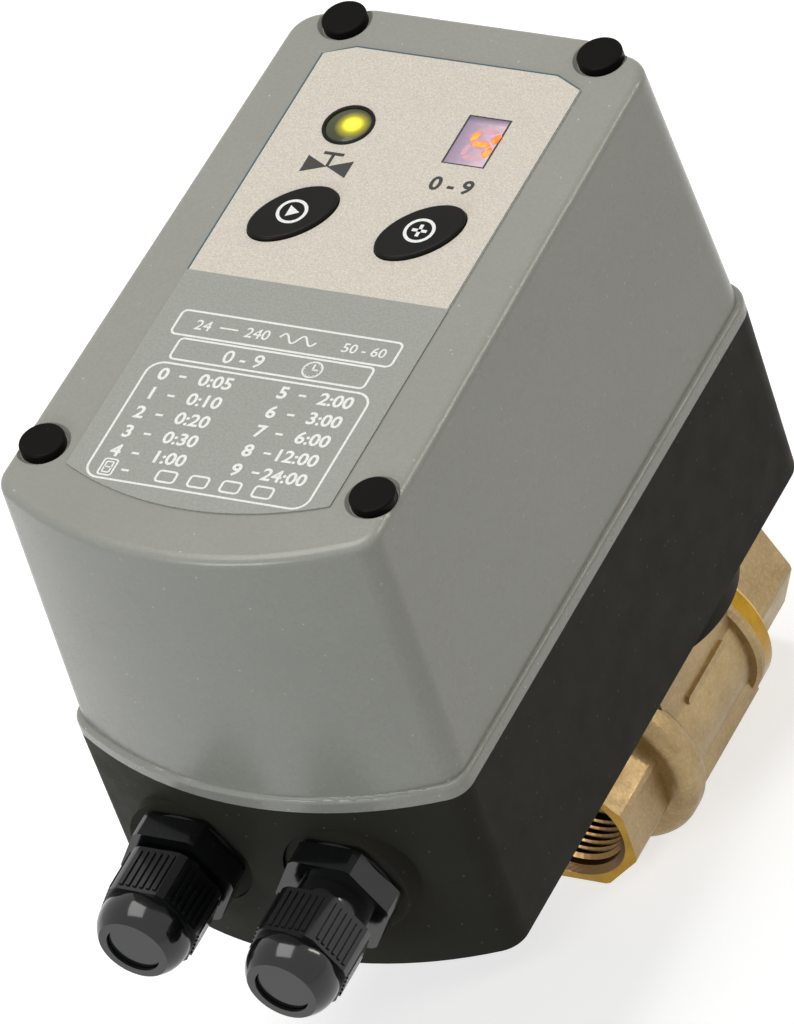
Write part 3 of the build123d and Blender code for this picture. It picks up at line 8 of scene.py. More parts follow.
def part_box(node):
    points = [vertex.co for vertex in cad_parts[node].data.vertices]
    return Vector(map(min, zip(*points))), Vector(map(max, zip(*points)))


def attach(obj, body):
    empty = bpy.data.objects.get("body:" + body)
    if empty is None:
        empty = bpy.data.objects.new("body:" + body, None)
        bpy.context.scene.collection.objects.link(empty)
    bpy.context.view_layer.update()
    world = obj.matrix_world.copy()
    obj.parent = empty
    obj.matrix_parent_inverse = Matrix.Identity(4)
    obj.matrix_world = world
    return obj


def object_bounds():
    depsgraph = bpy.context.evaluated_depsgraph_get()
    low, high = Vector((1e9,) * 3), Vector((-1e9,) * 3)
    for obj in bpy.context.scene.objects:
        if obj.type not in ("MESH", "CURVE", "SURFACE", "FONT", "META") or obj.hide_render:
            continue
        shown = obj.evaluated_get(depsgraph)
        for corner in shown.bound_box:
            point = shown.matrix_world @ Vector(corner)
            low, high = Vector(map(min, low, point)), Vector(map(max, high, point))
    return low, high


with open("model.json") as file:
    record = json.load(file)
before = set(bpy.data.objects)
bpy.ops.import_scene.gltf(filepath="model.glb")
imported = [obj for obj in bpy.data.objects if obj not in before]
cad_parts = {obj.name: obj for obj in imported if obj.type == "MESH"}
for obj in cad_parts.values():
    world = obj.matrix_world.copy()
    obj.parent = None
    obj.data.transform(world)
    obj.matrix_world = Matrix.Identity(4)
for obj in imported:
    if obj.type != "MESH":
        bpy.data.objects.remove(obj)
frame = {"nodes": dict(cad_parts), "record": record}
CAD_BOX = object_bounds()
NODES = frame["nodes"]
MM = 0.001


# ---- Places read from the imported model, in metres ------------------------------------------------
def middle(node):
    low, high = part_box(node)
    return (low + high) / 2


FILM_LOW, FILM_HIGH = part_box("face_film")
FILM_TOP = FILM_HIGH.z
CENTRE_X = (FILM_LOW.x + FILM_HIGH.x) / 2
FILM_HALF = (FILM_HIGH.x - FILM_LOW.x) / 2
FILM_REACH = 52.8                 # film's far edge from the screw pattern's centre, mm
PANEL_REACH = 10.6                # beige panel's near edge on the other side of it, mm
CENTRE_Y = FILM_HIGH.y - FILM_REACH * MM
PANEL_FOOT = CENTRE_Y - PANEL_REACH * MM


# ---- Materials -----------------------------------------------------------------------------------
def linear(*rgb):
    out = []
    for value in rgb:
        c = value / 255.0
        out.append(c / 12.92 if c <= 0.04045 else ((c + 0.055) / 1.055) ** 2.4)
    return (*out, 1.0)


class Graph:
    """A material's node tree with short calls for what the materials here need."""

    def __init__(self, name):
        self.material = bpy.data.materials.new(name)
        self.material.use_nodes = True
        self.tree = self.material.node_tree
        self.shader = self.tree.nodes["Principled BSDF"]
        self.place = self.tree.nodes.new("ShaderNodeTexCoord").outputs["Object"]

    def link(self, source, target):
        self.tree.links.new(source, target)

    def put(self, value, socket):
        if isinstance(value, bpy.types.NodeSocket):
            self.link(value, socket)
        else:
            socket.default_value = value

    def noise(self, scale, detail=3.0, roughness=0.55, stretch=None):
        node = self.tree.nodes.new("ShaderNodeTexNoise")
        node.inputs["Scale"].default_value = scale
        node.inputs["Detail"].default_value = detail
        node.inputs["Roughness"].default_value = roughness
        if stretch:
            mapping = self.tree.nodes.new("ShaderNodeMapping")
            mapping.inputs["Scale"].default_value = stretch
            self.link(self.place, mapping.inputs["Vector"])
            self.link(mapping.outputs["Vector"], node.inputs["Vector"])
        else:
            self.link(self.place, node.inputs["Vector"])
        return node.outputs["Fac"]

    def spots(self, scale, size):
        """1 in sparse specks, 0 elsewhere."""
        node = self.tree.nodes.new("ShaderNodeTexVoronoi")
        node.inputs["Scale"].default_value = scale
        self.link(self.place, node.inputs["Vector"])
        return self.span(node.outputs["Distance"], size, size * 0.55)

    def maths(self, operation, a, b=0.0, clamp=False):
        node = self.tree.nodes.new("ShaderNodeMath")
        node.operation = operation
        node.use_clamp = clamp
        self.put(a, node.inputs[0])
        self.put(b, node.inputs[1])
        return node.outputs[0]

    def span(self, value, low, high, out_low=0.0, out_high=1.0):
        node = self.tree.nodes.new("ShaderNodeMapRange")
        self.put(value, node.inputs["Value"])
        node.inputs["From Min"].default_value = low
        node.inputs["From Max"].default_value = high
        node.inputs["To Min"].default_value = out_low
        node.inputs["To Max"].default_value = out_high
        return node.outputs["Result"]

    def mix(self, share, a, b):
        node = self.tree.nodes.new("ShaderNodeMix")
        node.data_type = "RGBA"
        self.put(share, node.inputs["Factor"])
        self.put(a, node.inputs["A"])
        self.put(b, node.inputs["B"])
        return node.outputs["Result"]

    def axes(self, socket=None):
        node = self.tree.nodes.new("ShaderNodeSeparateXYZ")
        self.link(socket or self.place, node.inputs[0])
        return node.outputs

    def normal_axes(self):
        node = self.tree.nodes.new("ShaderNodeTexCoord")
        return self.axes(node.outputs["Normal"])

    def radius(self, a, b, centre_a, centre_b):
        """Distance of two coordinates from a centre line."""
        da = self.maths("SUBTRACT", a, centre_a)
        db = self.maths("SUBTRACT", b, centre_b)
        square = self.maths("ADD", self.maths("MULTIPLY", da, da), self.maths("MULTIPLY", db, db))
        return self.maths("SQRT", square)

    def bump(self, height, distance, strength=1.0):
        node = self.tree.nodes.new("ShaderNodeBump")
        node.inputs["Strength"].default_value = strength
        node.inputs["Distance"].default_value = distance
        self.link(height, node.inputs["Height"])
        if self.shader.inputs["Normal"].is_linked:
            self.link(self.shader.inputs["Normal"].links[0].from_socket, node.inputs["Normal"])
        self.link(node.outputs["Normal"], self.shader.inputs["Normal"])

    def colour(self, value):
        self.put(value, self.shader.inputs["Base Color"])

    def rough(self, value):
        self.put(value, self.shader.inputs["Roughness"])

    def metal(self, value=1.0):
        self.shader.inputs["Metallic"].default_value = value


def scaled(rgb, factor):
    return (rgb[0] * factor, rgb[1] * factor, rgb[2] * factor, 1.0)


def plastic(name, rgb, rough, grain=900.0, depth=0.02, tone=0.08, dust=0.0, shine=0.5):
    """Moulded plastic: a fine spark-eroded grain, faint flow tones and uneven gloss."""
    g = Graph(name)
    base = linear(*rgb)
    broad = g.span(g.noise(35.0, 4.0), 0.3, 0.7)
    colour = g.mix(broad, scaled(base, 1 - tone), scaled(base, 1 + tone))
    fine = g.noise(grain * 1.7, 2.0)
    colour = g.mix(g.span(fine, 0.35, 0.65, 0.0, 0.35), colour, scaled(base, 1 - 2 * tone))
    if dust:
        pale = linear(*(min(255, c + 60) for c in rgb))
        colour = g.mix(g.maths("MULTIPLY", g.spots(330.0, 0.10), dust), colour, pale)
    g.colour(colour)
    g.rough(g.span(g.noise(180.0, 5.0), 0.3, 0.7, rough - 0.06, rough + 0.06))
    g.bump(g.noise(grain, 2.0), depth * MM)
    g.shader.inputs["Specular IOR Level"].default_value = shine
    return g


def metal(name, rgb, rough, grain=500.0, depth=0.02, stretch=None, tone=0.12):
    """Bare metal: cloudy tones, brushed or blasted grain, and small pits."""
    g = Graph(name)
    base = linear(*rgb)
    cloud = g.span(g.noise(60.0, 5.0), 0.3, 0.7)
    g.colour(g.mix(cloud, scaled(base, 1 - tone), scaled(base, 1 + tone)))
    g.rough(g.span(g.noise(260.0, 4.0, stretch=stretch), 0.3, 0.7, rough - 0.08, rough + 0.1))
    g.bump(g.noise(grain, 3.0, stretch=stretch), depth * MM)
    g.metal()
    return g


def cast_brass():
    """Blasted casting, warm grey, with gold where it was turned: the port faces and the collar."""
    g = Graph("cast_brass")
    g.metal(0.88)
    x, y, z = g.axes()
    normal = g.normal_axes()
    casting = g.mix(g.span(g.noise(90.0, 5.0), 0.32, 0.68), linear(148, 125, 88), linear(170, 147, 107))
    casting = g.mix(g.span(g.noise(1400.0, 2.0), 0.45, 0.75, 0.0, 0.25), casting, linear(206, 186, 146))
    casting = g.mix(g.span(g.noise(420.0, 3.0), 0.55, 0.75, 0.0, 0.18), casting, linear(110, 88, 56))
    gold = g.mix(g.span(g.noise(150.0, 4.0), 0.35, 0.65), linear(158, 118, 20), linear(180, 140, 38))
    low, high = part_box("valve_body")
    facing = g.span(g.maths("MULTIPLY", normal[1], -1.0), 0.85, 0.95)
    near = g.maths("MULTIPLY", facing, g.span(y, 0.9 * MM, 0.6 * MM))
    collar = g.maths("MULTIPLY", g.span(y, high.y - 4.3 * MM, high.y - 4.1 * MM),
                     g.span(g.radius(x, z, 0.0, 0.0), 16.4 * MM, 16.8 * MM))
    machined = g.maths("MAXIMUM", near, collar)
    # Painted shade: inside the bore, away from the near port face, the casting is coloured a darker
    # brown
    bore_shade = g.maths("MULTIPLY", g.span(g.radius(x, z, 0.0, 0.0), 13.5 * MM, 13.3 * MM),
                   g.span(z, 24.0 * MM, 23.0 * MM))
    bore_shade = g.maths("MULTIPLY", bore_shade, g.maths("SUBTRACT", 1.0, near))
    colour = g.mix(machined, casting, gold)
    g.colour(g.mix(bore_shade, colour, linear(108, 82, 52)))
    rough = g.span(g.noise(300.0, 4.0), 0.3, 0.7, 0.34, 0.48)
    g.rough(g.maths("ADD", rough, g.maths("MULTIPLY", machined, -0.22)))
    blasted = g.maths("MULTIPLY", g.noise(1300.0, 3.0), g.maths("SUBTRACT", 1.0, machined))
    g.bump(blasted, 0.07 * MM)
    rings = g.maths("SINE", g.maths("MULTIPLY", g.radius(x, z, 0.0, 0.0), 2 * pi / (0.28 * MM)))
    chatter = g.maths("SINE", g.maths("MULTIPLY", y, 2 * pi / (0.34 * MM)))
    turned = g.maths("MULTIPLY", g.maths("ADD", rings, chatter), machined)
    g.bump(turned, 0.012 * MM)
    return g


def cover_grey():
    """Satin grey moulding: near-flat colour, fine grain, few scuffs and specks."""
    g = Graph("cover_grey")
    base = linear(147, 147, 139)
    tone = g.mix(g.span(g.noise(22.0, 4.0), 0.3, 0.7), scaled(base, 0.94), scaled(base, 1.05))
    grain = g.span(g.noise(1500.0, 2.0), 0.35, 0.65, 0.0, 0.45)
    tone = g.mix(grain, tone, scaled(base, 0.86))
    tone = g.mix(g.maths("MULTIPLY", g.spots(260.0, 0.07), 0.6), tone, linear(205, 203, 192))
    g.colour(tone)
    g.rough(g.span(g.noise(120.0, 5.0), 0.3, 0.7, 0.22, 0.30))
    g.bump(g.noise(1250.0, 2.0), 0.014 * MM)
    g.shader.inputs["Specular IOR Level"].default_value = 0.36
    return g


def film_print():
    """Printed label film: beige panel above, the cover's grey below, both finely speckled."""
    g = Graph("film_print")
    x, y, z = g.axes()
    beige = linear(208, 201, 188)
    speck = g.span(g.noise(2600.0, 2.0, 0.7), 0.38, 0.62)
    panel = g.mix(speck, scaled(beige, 0.80), scaled(beige, 1.08))
    panel = g.mix(g.span(g.noise(900.0, 2.0), 0.4, 0.7, 0.0, 0.4), panel, linear(196, 188, 175))
    grey = linear(149, 150, 143)
    lower = g.mix(g.span(g.noise(1900.0, 2.0), 0.35, 0.65), scaled(grey, 0.90), scaled(grey, 1.06))
    upper = g.span(y, PANEL_FOOT - 0.05 * MM, PANEL_FOOT + 0.05 * MM)
    g.colour(g.mix(upper, lower, panel))
    g.rough(g.span(g.noise(400.0, 3.0), 0.3, 0.7, 0.34, 0.46))
    g.bump(g.noise(1700.0, 2.0), 0.012 * MM)
    return g


def lamp_lens():
    """Lit tinted lens: bright in the middle, dark olive at the rim."""
    g = Graph("lamp_lens")
    centre = middle("led_lens")
    x, y, z = g.axes()
    away = g.radius(x, y, centre.x + 1.0 * MM, centre.y)
    away = g.maths("ADD", away, g.maths("MULTIPLY", g.noise(900.0, 2.0), 0.4 * MM))
    core = g.span(away, 3.9 * MM, 1.0 * MM)
    colour = g.mix(core, linear(52, 56, 16), linear(205, 190, 20))
    hot = g.span(away, 2.6 * MM, 0.2 * MM)
    colour = g.mix(hot, colour, linear(250, 246, 70))
    g.colour(colour)
    g.link(colour, g.shader.inputs["Emission Color"])
    g.put(g.span(away, 4.6 * MM, 1.4 * MM, 0.0, 0.75), g.shader.inputs["Emission Strength"])
    g.rough(g.span(g.noise(700.0, 2.0), 0.3, 0.7, 0.12, 0.2))
    return g


def display_glass():
    """Filtered display face, grey-violet, darker at one side, where its frame shades it."""
    g = Graph("display_glass")
    x, y, z = g.axes()
    low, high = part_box("display_window")
    across = g.span(x, low.x, high.x)
    side = g.mix(across, linear(150, 130, 156), linear(232, 200, 212))
    top = g.mix(g.span(y, high.y - 1.8 * MM, high.y), side, linear(74, 70, 92))
    g.colour(g.mix(g.span(g.noise(900.0, 3.0), 0.35, 0.65, 0.0, 0.3), top, linear(140, 134, 156)))
    g.rough(g.span(g.noise(500.0, 2.0), 0.3, 0.7, 0.22, 0.3))
    return g


def ink(name, rgb, rough=0.5):
    g = Graph(name)
    base = linear(*rgb)
    g.colour(g.mix(g.span(g.noise(2200.0, 2.0), 0.4, 0.7), scaled(base, 0.84), base))
    g.rough(g.span(g.noise(800.0, 2.0), 0.3, 0.7, rough - 0.05, rough + 0.05))
    return g


def lit(name, rgb, rgb_edge, strength):
    g = Graph(name)
    glow = g.mix(g.span(g.noise(600.0, 2.0), 0.35, 0.65), linear(*rgb), linear(*rgb_edge))
    g.colour(glow)
    g.link(glow, g.shader.inputs["Emission Color"])
    g.shader.inputs["Emission Strength"].default_value = strength
    g.rough(0.35)
    return g


SLOT_LOOK = {
    "black_plastic": plastic("housing_black", (46, 45, 39), 0.50, 1100.0, 0.02, 0.10, 0.35, 0.03),
    "grey_plastic": cover_grey(),
    "gasket_rubber": plastic("gasket_rubber", (32, 31, 30), 0.75, 700.0, 0.05),
    "cap_rubber": plastic("cap_black", (18, 17, 15), 0.32, 1300.0, 0.006, 0.12, 0.15, 0.04),
    "steel": metal("zinc_steel", (186, 186, 182), 0.34, 600.0, 0.01),
    "film": film_print(),
    "key_plastic": plastic("key_black", (24, 23, 20), 0.36, 1500.0, 0.010, 0.10, 0.0, 0.10),
    "lens": lamp_lens(),
    "window": display_glass(),
    "display": plastic("display_face", (120, 112, 132), 0.4, 900.0, 0.01),
    "board": plastic("board_green", (28, 92, 52), 0.42, 1400.0, 0.01, 0.15),
    "component": plastic("component_black", (44, 44, 47), 0.45, 800.0, 0.02),
    "terminal": plastic("terminal_green", (36, 110, 66), 0.45, 800.0, 0.02),
    "core": metal("core_lacquer", (92, 92, 98), 0.42, 900.0, 0.05, (1.0, 1.0, 8.0)),
    "motor_can": metal("drawn_can", (176, 176, 170), 0.30, 300.0, 0.01, (1.0, 1.0, 0.05)),
    "gear_plastic": plastic("acetal_white", (226, 222, 208), 0.38, 900.0, 0.01, 0.04),
    "cast_brass": cast_brass(),
    "turned_brass": metal("turned_brass", (204, 168, 96), 0.26, 1600.0, 0.01, (0.2, 0.2, 3.0)),
    "ball_chrome": metal("ball_chrome", (205, 207, 210), 0.10, 200.0, 0.002, None, 0.04),
    "seat_plastic": plastic("seat_white", (232, 230, 222), 0.35, 600.0, 0.01, 0.03),
    "gland_plastic": plastic("gland_black", (17, 18, 19), 0.13, 260.0, 0.012, 0.14, 0.15, 0.5),
}

slot_of = {entry["node"]: entry["material_slot"] for entry in frame["record"]["subparts"]}


def paint(obj, look):
    if not obj.material_slots:
        obj.data.materials.append(look.material)
    for place in obj.material_slots:
        place.material = look.material


for node, obj in NODES.items():
    paint(obj, SLOT_LOOK[slot_of[node]])


# ---- Mesh helpers --------------------------------------------------------------------------------
def piece(name, mesh, look, body):
    obj = bpy.data.objects.new(name, mesh)
    bpy.context.scene.collection.objects.link(obj)
    obj.data.materials.clear()
    obj.data.materials.append(look.material)
    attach(obj, body)
    return obj


LETTER_TALL = 0.72                # a capital's height in the built-in font, at size 1


class Print:
    """Flat printed shapes on one level, gathered into one mesh."""

    def __init__(self, z):
        self.z = z
        self.points = []
        self.faces = []

    def at(self, x, y):
        """A point from millimetres on the face, measured from the pattern's centre."""
        self.points.append((CENTRE_X + x * MM, CENTRE_Y + y * MM, self.z))
        return len(self.points) - 1

    def polygon(self, corners):
        self.faces.append([self.at(x, y) for x, y in corners])

    def band(self, path, width, closed=True):
        """A line of that width along the path."""
        count = len(path)
        inner, outer = [], []
        for i, point in enumerate(path):
            before = path[i - 1] if closed or i else point
            after = path[(i + 1) % count] if closed or i < count - 1 else point
            along = Vector((after[0] - before[0], after[1] - before[1])).normalized()
            side = Vector((-along.y, along.x)) * (width / 2)
            inner.append(self.at(point[0] - side.x, point[1] - side.y))
            outer.append(self.at(point[0] + side.x, point[1] + side.y))
        last = count if closed else count - 1
        for i in range(last):
            j = (i + 1) % count
            self.faces.append([inner[i], inner[j], outer[j], outer[i]])

    def text(self, words, x, y, height, align="CENTER", bold=0.0):
        curve = bpy.data.curves.new("letters", "FONT")
        curve.body = words
        curve.size = 1.0
        curve.offset = bold
        curve.resolution_u = 3
        curve.align_x = align
        holder = bpy.data.objects.new("letters", curve)
        bpy.context.scene.collection.objects.link(holder)
        graph = bpy.context.evaluated_depsgraph_get()
        mesh = bpy.data.meshes.new_from_object(holder.evaluated_get(graph))
        bpy.data.objects.remove(holder)
        scale = height / LETTER_TALL
        start = len(self.points)
        for v in mesh.vertices:
            self.at(x + v.co.x * scale, y + (v.co.y - LETTER_TALL / 2) * scale)
        for face in mesh.polygons:
            self.faces.append([start + i for i in face.vertices])
        bpy.data.meshes.remove(mesh)

    def mesh(self, name):
        mesh = bpy.data.meshes.new(name)
        mesh.from_pydata(self.points, [], self.faces)
        mesh.update()
        made = bmesh.new()
        made.from_mesh(mesh)
        for face in made.faces:
            if face.normal.z < 0:
                face.normal_flip()
        made.to_mesh(mesh)
        made.free()
        return mesh


def rounded(x0, y0, x1, y1, radius, steps=7):
    """Points round a rounded rectangle."""
    path = []
    corners = ((x1 - radius, y1 - radius, 0), (x0 + radius, y1 - radius, 90),
               (x0 + radius, y0 + radius, 180), (x1 - radius, y0 + radius, 270))
    for cx, cy, start in corners:
        for i in range(steps + 1):
            angle = radians(start + 90 * i / steps)
            path.append((cx + radius * cos(angle), cy + radius * sin(angle)))
    return path


def ring(x, y, radius, steps=32):
    turns = [2 * pi * i / steps for i in range(steps)]
    return [(x + radius * cos(turn), y + radius * sin(turn)) for turn in turns]


# ---- Printed legend ------------------------------------------------------------------------------
WHITE = ink("legend_white", (240, 240, 236))
DARK = ink("legend_dark", (34, 33, 32))
# Teal for the film's border: a line along its cut edge, and painted shade down the film's sides
LINE_AND_SHADE = ink("edge_line_and_shade", (44, 84, 98))
PRINT_Z = FILM_TOP + 0.03 * MM

white = Print(PRINT_Z)
white.band(rounded(-24.1, -27.3, 24.1, -20.9, 1.2), 0.5)
white.band(rounded(-21.2, -33.6, 21.3, -28.1, 1.0), 0.5)
white.band(rounded(-24.1, -65.6, 24.2, -34.8, 3.2), 0.5)
white.text("50 - 60", 17.0, -24.1, 2.4, "CENTER", 0.012)
white.text("24", -20.0, -24.1, 2.6, "LEFT", 0.012)
white.text("240", -9.0, -24.1, 2.6, "LEFT", 0.012)
white.band([(-14.6, -24.1), (-10.6, -24.1)], 0.4, False)
wave = [(-1.5 + 0.25 * i, -24.1 + 1.1 * sin(2 * pi * i / 16)) for i in range(33)]
white.band(wave, 0.42, False)
white.text("0 - 9", -6.0, -30.9, 3.4, "CENTER", 0.014)
CLOCK_X, CLOCK_Y = 9.0, -30.9
white.band(ring(CLOCK_X, CLOCK_Y, 2.0), 0.4)
white.band([(CLOCK_X, CLOCK_Y), (CLOCK_X, -29.5)], 0.42, False)
white.band([(CLOCK_X, CLOCK_Y), (10.2, CLOCK_Y)], 0.42, False)
for tick in range(12):
    angle = tick * pi / 6
    marks = [(CLOCK_X + r * cos(angle), CLOCK_Y + r * sin(angle)) for r in (1.55, 1.95)]
    white.band(marks, 0.2, False)
STEPS = ("0:05", "0:10", "0:20", "0:30", "1:00", "2:00", "3:00", "6:00", "12:00", "24:00")
ROWS, ROW_TOP, ROW_PITCH = 5, -37.6, 5.15
for row in range(ROWS):
    y = ROW_TOP - ROW_PITCH * row
    for column, x in enumerate((-20.2, 6.0)):
        number = row + ROWS * column
        white.text(str(number), x, y, 3.1, "CENTER", 0.030)
        white.band([(x + 3.4, y - 0.1), (x + 5.0, y - 0.1)], 0.55, False)
        white.text(STEPS[number], x + 15.2, y, 3.1, "RIGHT", 0.026)
white.band(rounded(-21.3, -64.7, -18.4, -60.6, 0.5, 3), 0.4)
white.band(rounded(-20.6, -64.0, -19.1, -61.3, 0.2, 2), 0.35)
white.band([(-20.6, -62.65), (-19.1, -62.65)], 0.35, False)
white.band([(-16.8, -62.8), (-15.2, -62.8)], 0.55, False)
for i in range(4):
    start = -9.0 + 7.0 * i
    white.band(rounded(start, -64.2, start + 4.0, -61.4, 0.7, 4), 0.5)
piece("legend_print", white.mesh("legend_print"), WHITE, "housing")

dark = Print(PRINT_Z)
# a valve symbol under the lamp, and the range of program numbers under the display
for side in (-1, 1):
    dark.polygon([(-13.3, 20.6), (-13.3 + side * 5.0, 22.9), (-13.3 + side * 5.0, 18.3)])
dark.band([(-13.3, 20.6), (-13.3, 23.8)], 0.7, False)
dark.band([(-15.5, 24.1), (-11.1, 24.1)], 0.8, False)
dark.text("0 - 9", 14.3, 20.6, 3.6, "CENTER", 0.028)
piece("panel_print", dark.mesh("panel_print"), DARK, "housing")

# Strip along the film's die-cut edge: across the top and shoulders it is the edge line; down the left
# side, and thinner down the right side, it is painted shade
edge = Print(FILM_TOP + 0.02 * MM)
half = FILM_HALF / MM - 0.18
SHOULDER_Y, HEAD_X, HEAD_Y = 49.75, 22.25, 52.62
edge.band([(-half, -PANEL_REACH), (-half, SHOULDER_Y), (-HEAD_X, HEAD_Y), (HEAD_X, HEAD_Y),
           (half, SHOULDER_Y)], 0.36, False)
edge.band([(half + 0.06, SHOULDER_Y), (half + 0.06, -PANEL_REACH)], 0.16, False)
piece("film_edge_line", edge.mesh("film_edge_line"), LINE_AND_SHADE, "housing")

rim = Print(FILM_TOP + 0.02 * MM)
low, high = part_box("display_window")
x0, x1 = (low.x - CENTRE_X) / MM, (high.x - CENTRE_X) / MM
y0, y1 = (low.y - CENTRE_Y) / MM, (high.y - CENTRE_Y) / MM
rim.band([(x0, y0), (x1, y0), (x1, y1), (x0, y1)], 0.5)
piece("display_border", rim.mesh("display_border"), DARK, "housing")

# ---- Display digit -------------------------------------------------------------------------------
SEGMENTS = {
    "a": ((0, 2), (1, 2)), "b": ((1, 2), (1, 1)), "c": ((1, 1), (1, 0)), "d": ((1, 0), (0, 0)),
    "e": ((0, 0), (0, 1)), "f": ((0, 1), (0, 2)), "g": ((0, 1), (1, 1)),
}
DIGIT_X, DIGIT_Y, DIGIT_WIDE, DIGIT_HALF, DIGIT_LEAN = 12.6, 28.3, 4.6, 3.7, 0.10


def segment(target, ends, width):
    """One bar of the digit, pointed at both ends."""
    (ax, ay), (bx, by) = ends
    start = Vector((DIGIT_X + ax * DIGIT_WIDE, DIGIT_Y + ay * DIGIT_HALF))
    stop = Vector((DIGIT_X + bx * DIGIT_WIDE, DIGIT_Y + by * DIGIT_HALF))
    along = (stop - start).normalized()
    across = Vector((-along.y, along.x)) * width / 2
    start += along * 0.25
    stop -= along * 0.25
    shoulder = along * width / 2
    outline = [start, start + shoulder + across, stop - shoulder + across, stop,
               stop - shoulder - across, start + shoulder - across]
    target.polygon([(p.x + (p.y - DIGIT_Y) * DIGIT_LEAN, p.y) for p in outline])


SHOWN = "fgbc"                    # the bars that make a 4
lit_bars = Print(FILM_TOP + 0.025 * MM)
dim_bars = Print(FILM_TOP + 0.015 * MM)
halo = Print(FILM_TOP + 0.01 * MM)
for name, ends in SEGMENTS.items():
    if name in SHOWN:
        segment(lit_bars, ends, 1.25)
        segment(halo, ends, 2.4)
    else:
        segment(dim_bars, ends, 1.2)
for name, bars, look in (("digit_halo", halo, ((226, 140, 150), (216, 130, 148), 0.10)),
                         ("digit_lit", lit_bars, ((255, 96, 30), (255, 150, 50), 0.85)),
                         ("digit_dim", dim_bars, ((214, 160, 172), (204, 152, 168), 0.10))):
    piece(name, bars.mesh(name), lit(name, *look), "housing")


# ---- Key symbols ---------------------------------------------------------------------------------
def key_symbol(key, shapes):
    """White symbol printed on one key's top."""
    centre = middle(key)
    sheet = Print(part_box(key)[1].z + 0.02 * MM)
    cx, cy = (centre.x - CENTRE_X) / MM, (centre.y - CENTRE_Y) / MM
    shapes(sheet, cx, cy)
    return piece(key + "_print", sheet.mesh(key + "_print"), WHITE, key)


KEY_RING_R, KEY_RING_WIDE = 2.9, 0.7


def play_mark(sheet, x, y):
    sheet.band(ring(x, y, KEY_RING_R), KEY_RING_WIDE)
    sheet.polygon([(x - 0.9, y - 1.5), (x + 1.6, y), (x - 0.9, y + 1.5)])


def plus_mark(sheet, x, y):
    sheet.band(ring(x, y, KEY_RING_R), KEY_RING_WIDE)
    sheet.band([(x - 1.6, y), (x + 1.6, y)], 0.75, False)
    sheet.band([(x, y - 1.6), (x, y + 1.6)], 0.75, False)


key_symbol("test_key", play_mark)
key_symbol("set_key", plus_mark)


# ---- Pipe threads --------------------------------------------------------------------------------
THREAD_LOOK = metal("thread_copper", (116, 90, 58), 0.34, 900.0, 0.02, None, 0.2)


THREAD_PITCH = 25.4 / 14          # 14 turns an inch, mm
THREAD_ROOT_R, THREAD_CREST_R = 12.05, 11.15


def pipe_thread(name, start, stop, body):
    """Raised internal thread, running out at both ends."""
    pitch = THREAD_PITCH
    root, crest = THREAD_ROOT_R, THREAD_CREST_R
    steps = 48
    turns = (abs(stop - start) - pitch) / pitch
    count = int(turns * steps)
    direction = 1 if stop > start else -1
    points, faces = [], []
    for i in range(count + 1):
        angle = 2 * pi * i / steps
        ramp = min(1.0, i / steps * 2, (count - i) / steps * 2)
        along = start + direction * (pitch / 2 + pitch * i / steps)
        top = root - (root - crest) * ramp
        for radius, offset in ((root, -0.46), (top, -0.10), (top, 0.10), (root, 0.46)):
            points.append((radius * cos(angle) * MM, (along + offset * pitch) * MM,
                           radius * sin(angle) * MM))
        if i:
            a, b = 4 * (i - 1), 4 * i
            for k in range(3):
                faces.append((a + k, a + k + 1, b + k + 1, b + k))
    mesh = bpy.data.meshes.new(name)
    mesh.from_pydata(points, [], faces)
    mesh.update()
    return piece(name, mesh, THREAD_LOOK, body)


pipe_thread("inlet_thread", 1.4, 14.8, "housing")
pipe_thread("outlet_thread", 74.6, 61.2, "housing")


# ---- Camera, light and floor ---------------------------------------------------------------------
scene = bpy.context.scene
camera = bpy.data.objects.new("camera", bpy.data.cameras.new("camera"))
scene.collection.objects.link(camera)
RIGHT = Vector((0.869806, 0.423817, -0.252619))
DOWN = Vector((0.142581, -0.706069, -0.693640))
FORWARD = Vector((-0.472343, 0.567314, -0.674572))
turn = Matrix((RIGHT, -DOWN, -FORWARD)).transposed().to_4x4()
camera.matrix_world = Matrix.Translation(Vector((1.12101, -1.36121, 1.70599))) @ turn
camera.data.lens = 436.6
camera.data.sensor_width = 36.0
camera.data.sensor_fit = "AUTO"
camera.data.clip_end = 50.0
scene.camera = camera
scene.view_settings.view_transform = "Standard"


def soft_box(name, place, aim, size, power, rgb=(1.0, 1.0, 1.0)):
    light = bpy.data.lights.new(name, "AREA")
    light.shape = "RECTANGLE"
    light.size, light.size_y = size
    light.energy = power
    light.color = rgb
    obj = bpy.data.objects.new(name, light)
    scene.collection.objects.link(obj)
    obj.location = place
    obj.rotation_euler = (Vector(aim) - Vector(place)).to_track_quat("-Z", "Y").to_euler()
    return obj


AIM = (CENTRE_X, CENTRE_Y, 0.09)
soft_box("top_box", (-0.15, 0.0, 1.30), AIM, (1.0, 0.8), 11.2, (1.0, 0.995, 0.98))
soft_box("back_strip", (0.80, 0.70, 0.66), AIM, (0.10, 0.55), 2.4, (1.0, 0.95, 0.86))
soft_box("front_box", (-0.25, -1.50, 0.62), AIM, (0.6, 0.4), 8.0, (0.88, 0.94, 1.0))

SKY_LIGHT = 0.24                  # what the world gives as light; it shows as white
FLOOR_GLOW = 0.62                 # lifts the floor to white where it is seen, not as light

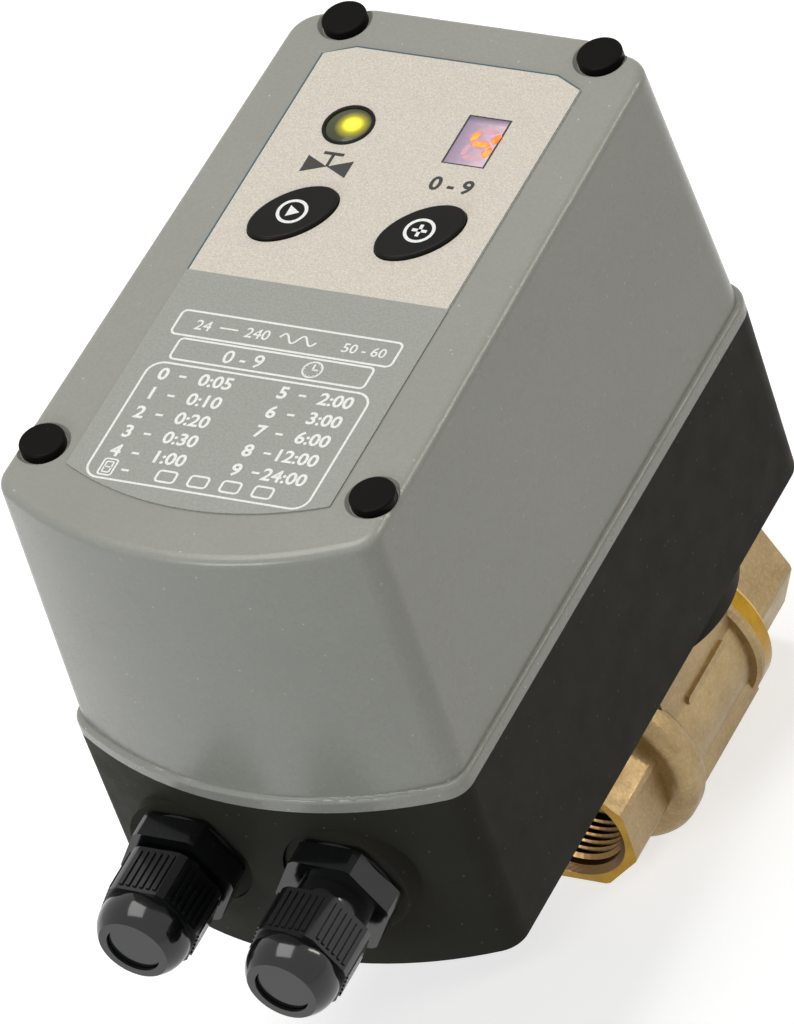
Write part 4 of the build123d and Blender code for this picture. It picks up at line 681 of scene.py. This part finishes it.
world = bpy.data.worlds.new("plain")
scene.world = world
world.use_nodes = True
tree = world.node_tree
paths = tree.nodes.new("ShaderNodeLightPath")
seen = tree.nodes.new("ShaderNodeMath")
seen.operation = "MAXIMUM"
tree.links.new(paths.outputs["Is Camera Ray"], seen.inputs[0])
tree.links.new(paths.outputs["Is Transmission Ray"], seen.inputs[1])
shown = tree.nodes.new("ShaderNodeMath")
shown.operation = "MAXIMUM"
tree.links.new(seen.outputs[0], shown.inputs[0])
tree.links.new(paths.outputs["Is Glossy Ray"], shown.inputs[1])
level = tree.nodes.new("ShaderNodeMapRange")
tree.links.new(shown.outputs[0], level.inputs["Value"])
level.inputs["To Min"].default_value = SKY_LIGHT
level.inputs["To Max"].default_value = 1.0
tree.links.new(level.outputs["Result"], tree.nodes["Background"].inputs["Strength"])
tree.nodes["Background"].inputs["Color"].default_value = (1.0, 1.0, 1.0, 1.0)


def floor():
    """Wide pale floor under the part, near white with a soft shadow where it is seen."""
    level = CAD_BOX[0].z - 0.2 * MM
    mesh = bpy.data.meshes.new("floor")
    reach = 4.0
    corners = [(x * reach, y * reach, level) for x, y in ((-1, -1), (1, -1), (1, 1), (-1, 1))]
    mesh.from_pydata(corners, [], [(0, 1, 2, 3)])
    obj = bpy.data.objects.new("floor", mesh)
    scene.collection.objects.link(obj)
    g = Graph("floor_pale")
    g.colour(g.mix(g.span(g.noise(4.0, 2.0), 0.3, 0.7), linear(206, 206, 204), linear(212, 212, 210)))
    g.rough(0.85)
    g.shader.inputs["Specular IOR Level"].default_value = 0.1
    path = g.tree.nodes.new("ShaderNodeLightPath")
    g.shader.inputs["Emission Color"].default_value = (1.0, 1.0, 1.0, 1.0)
    shown = g.maths("MAXIMUM", path.outputs["Is Camera Ray"], path.outputs["Is Glossy Ray"])
    shown = g.maths("MAXIMUM", shown, path.outputs["Is Transmission Ray"])
    g.put(g.maths("MULTIPLY", shown, FLOOR_GLOW), g.shader.inputs["Emission Strength"])
    mesh.materials.append(g.material)


floor()
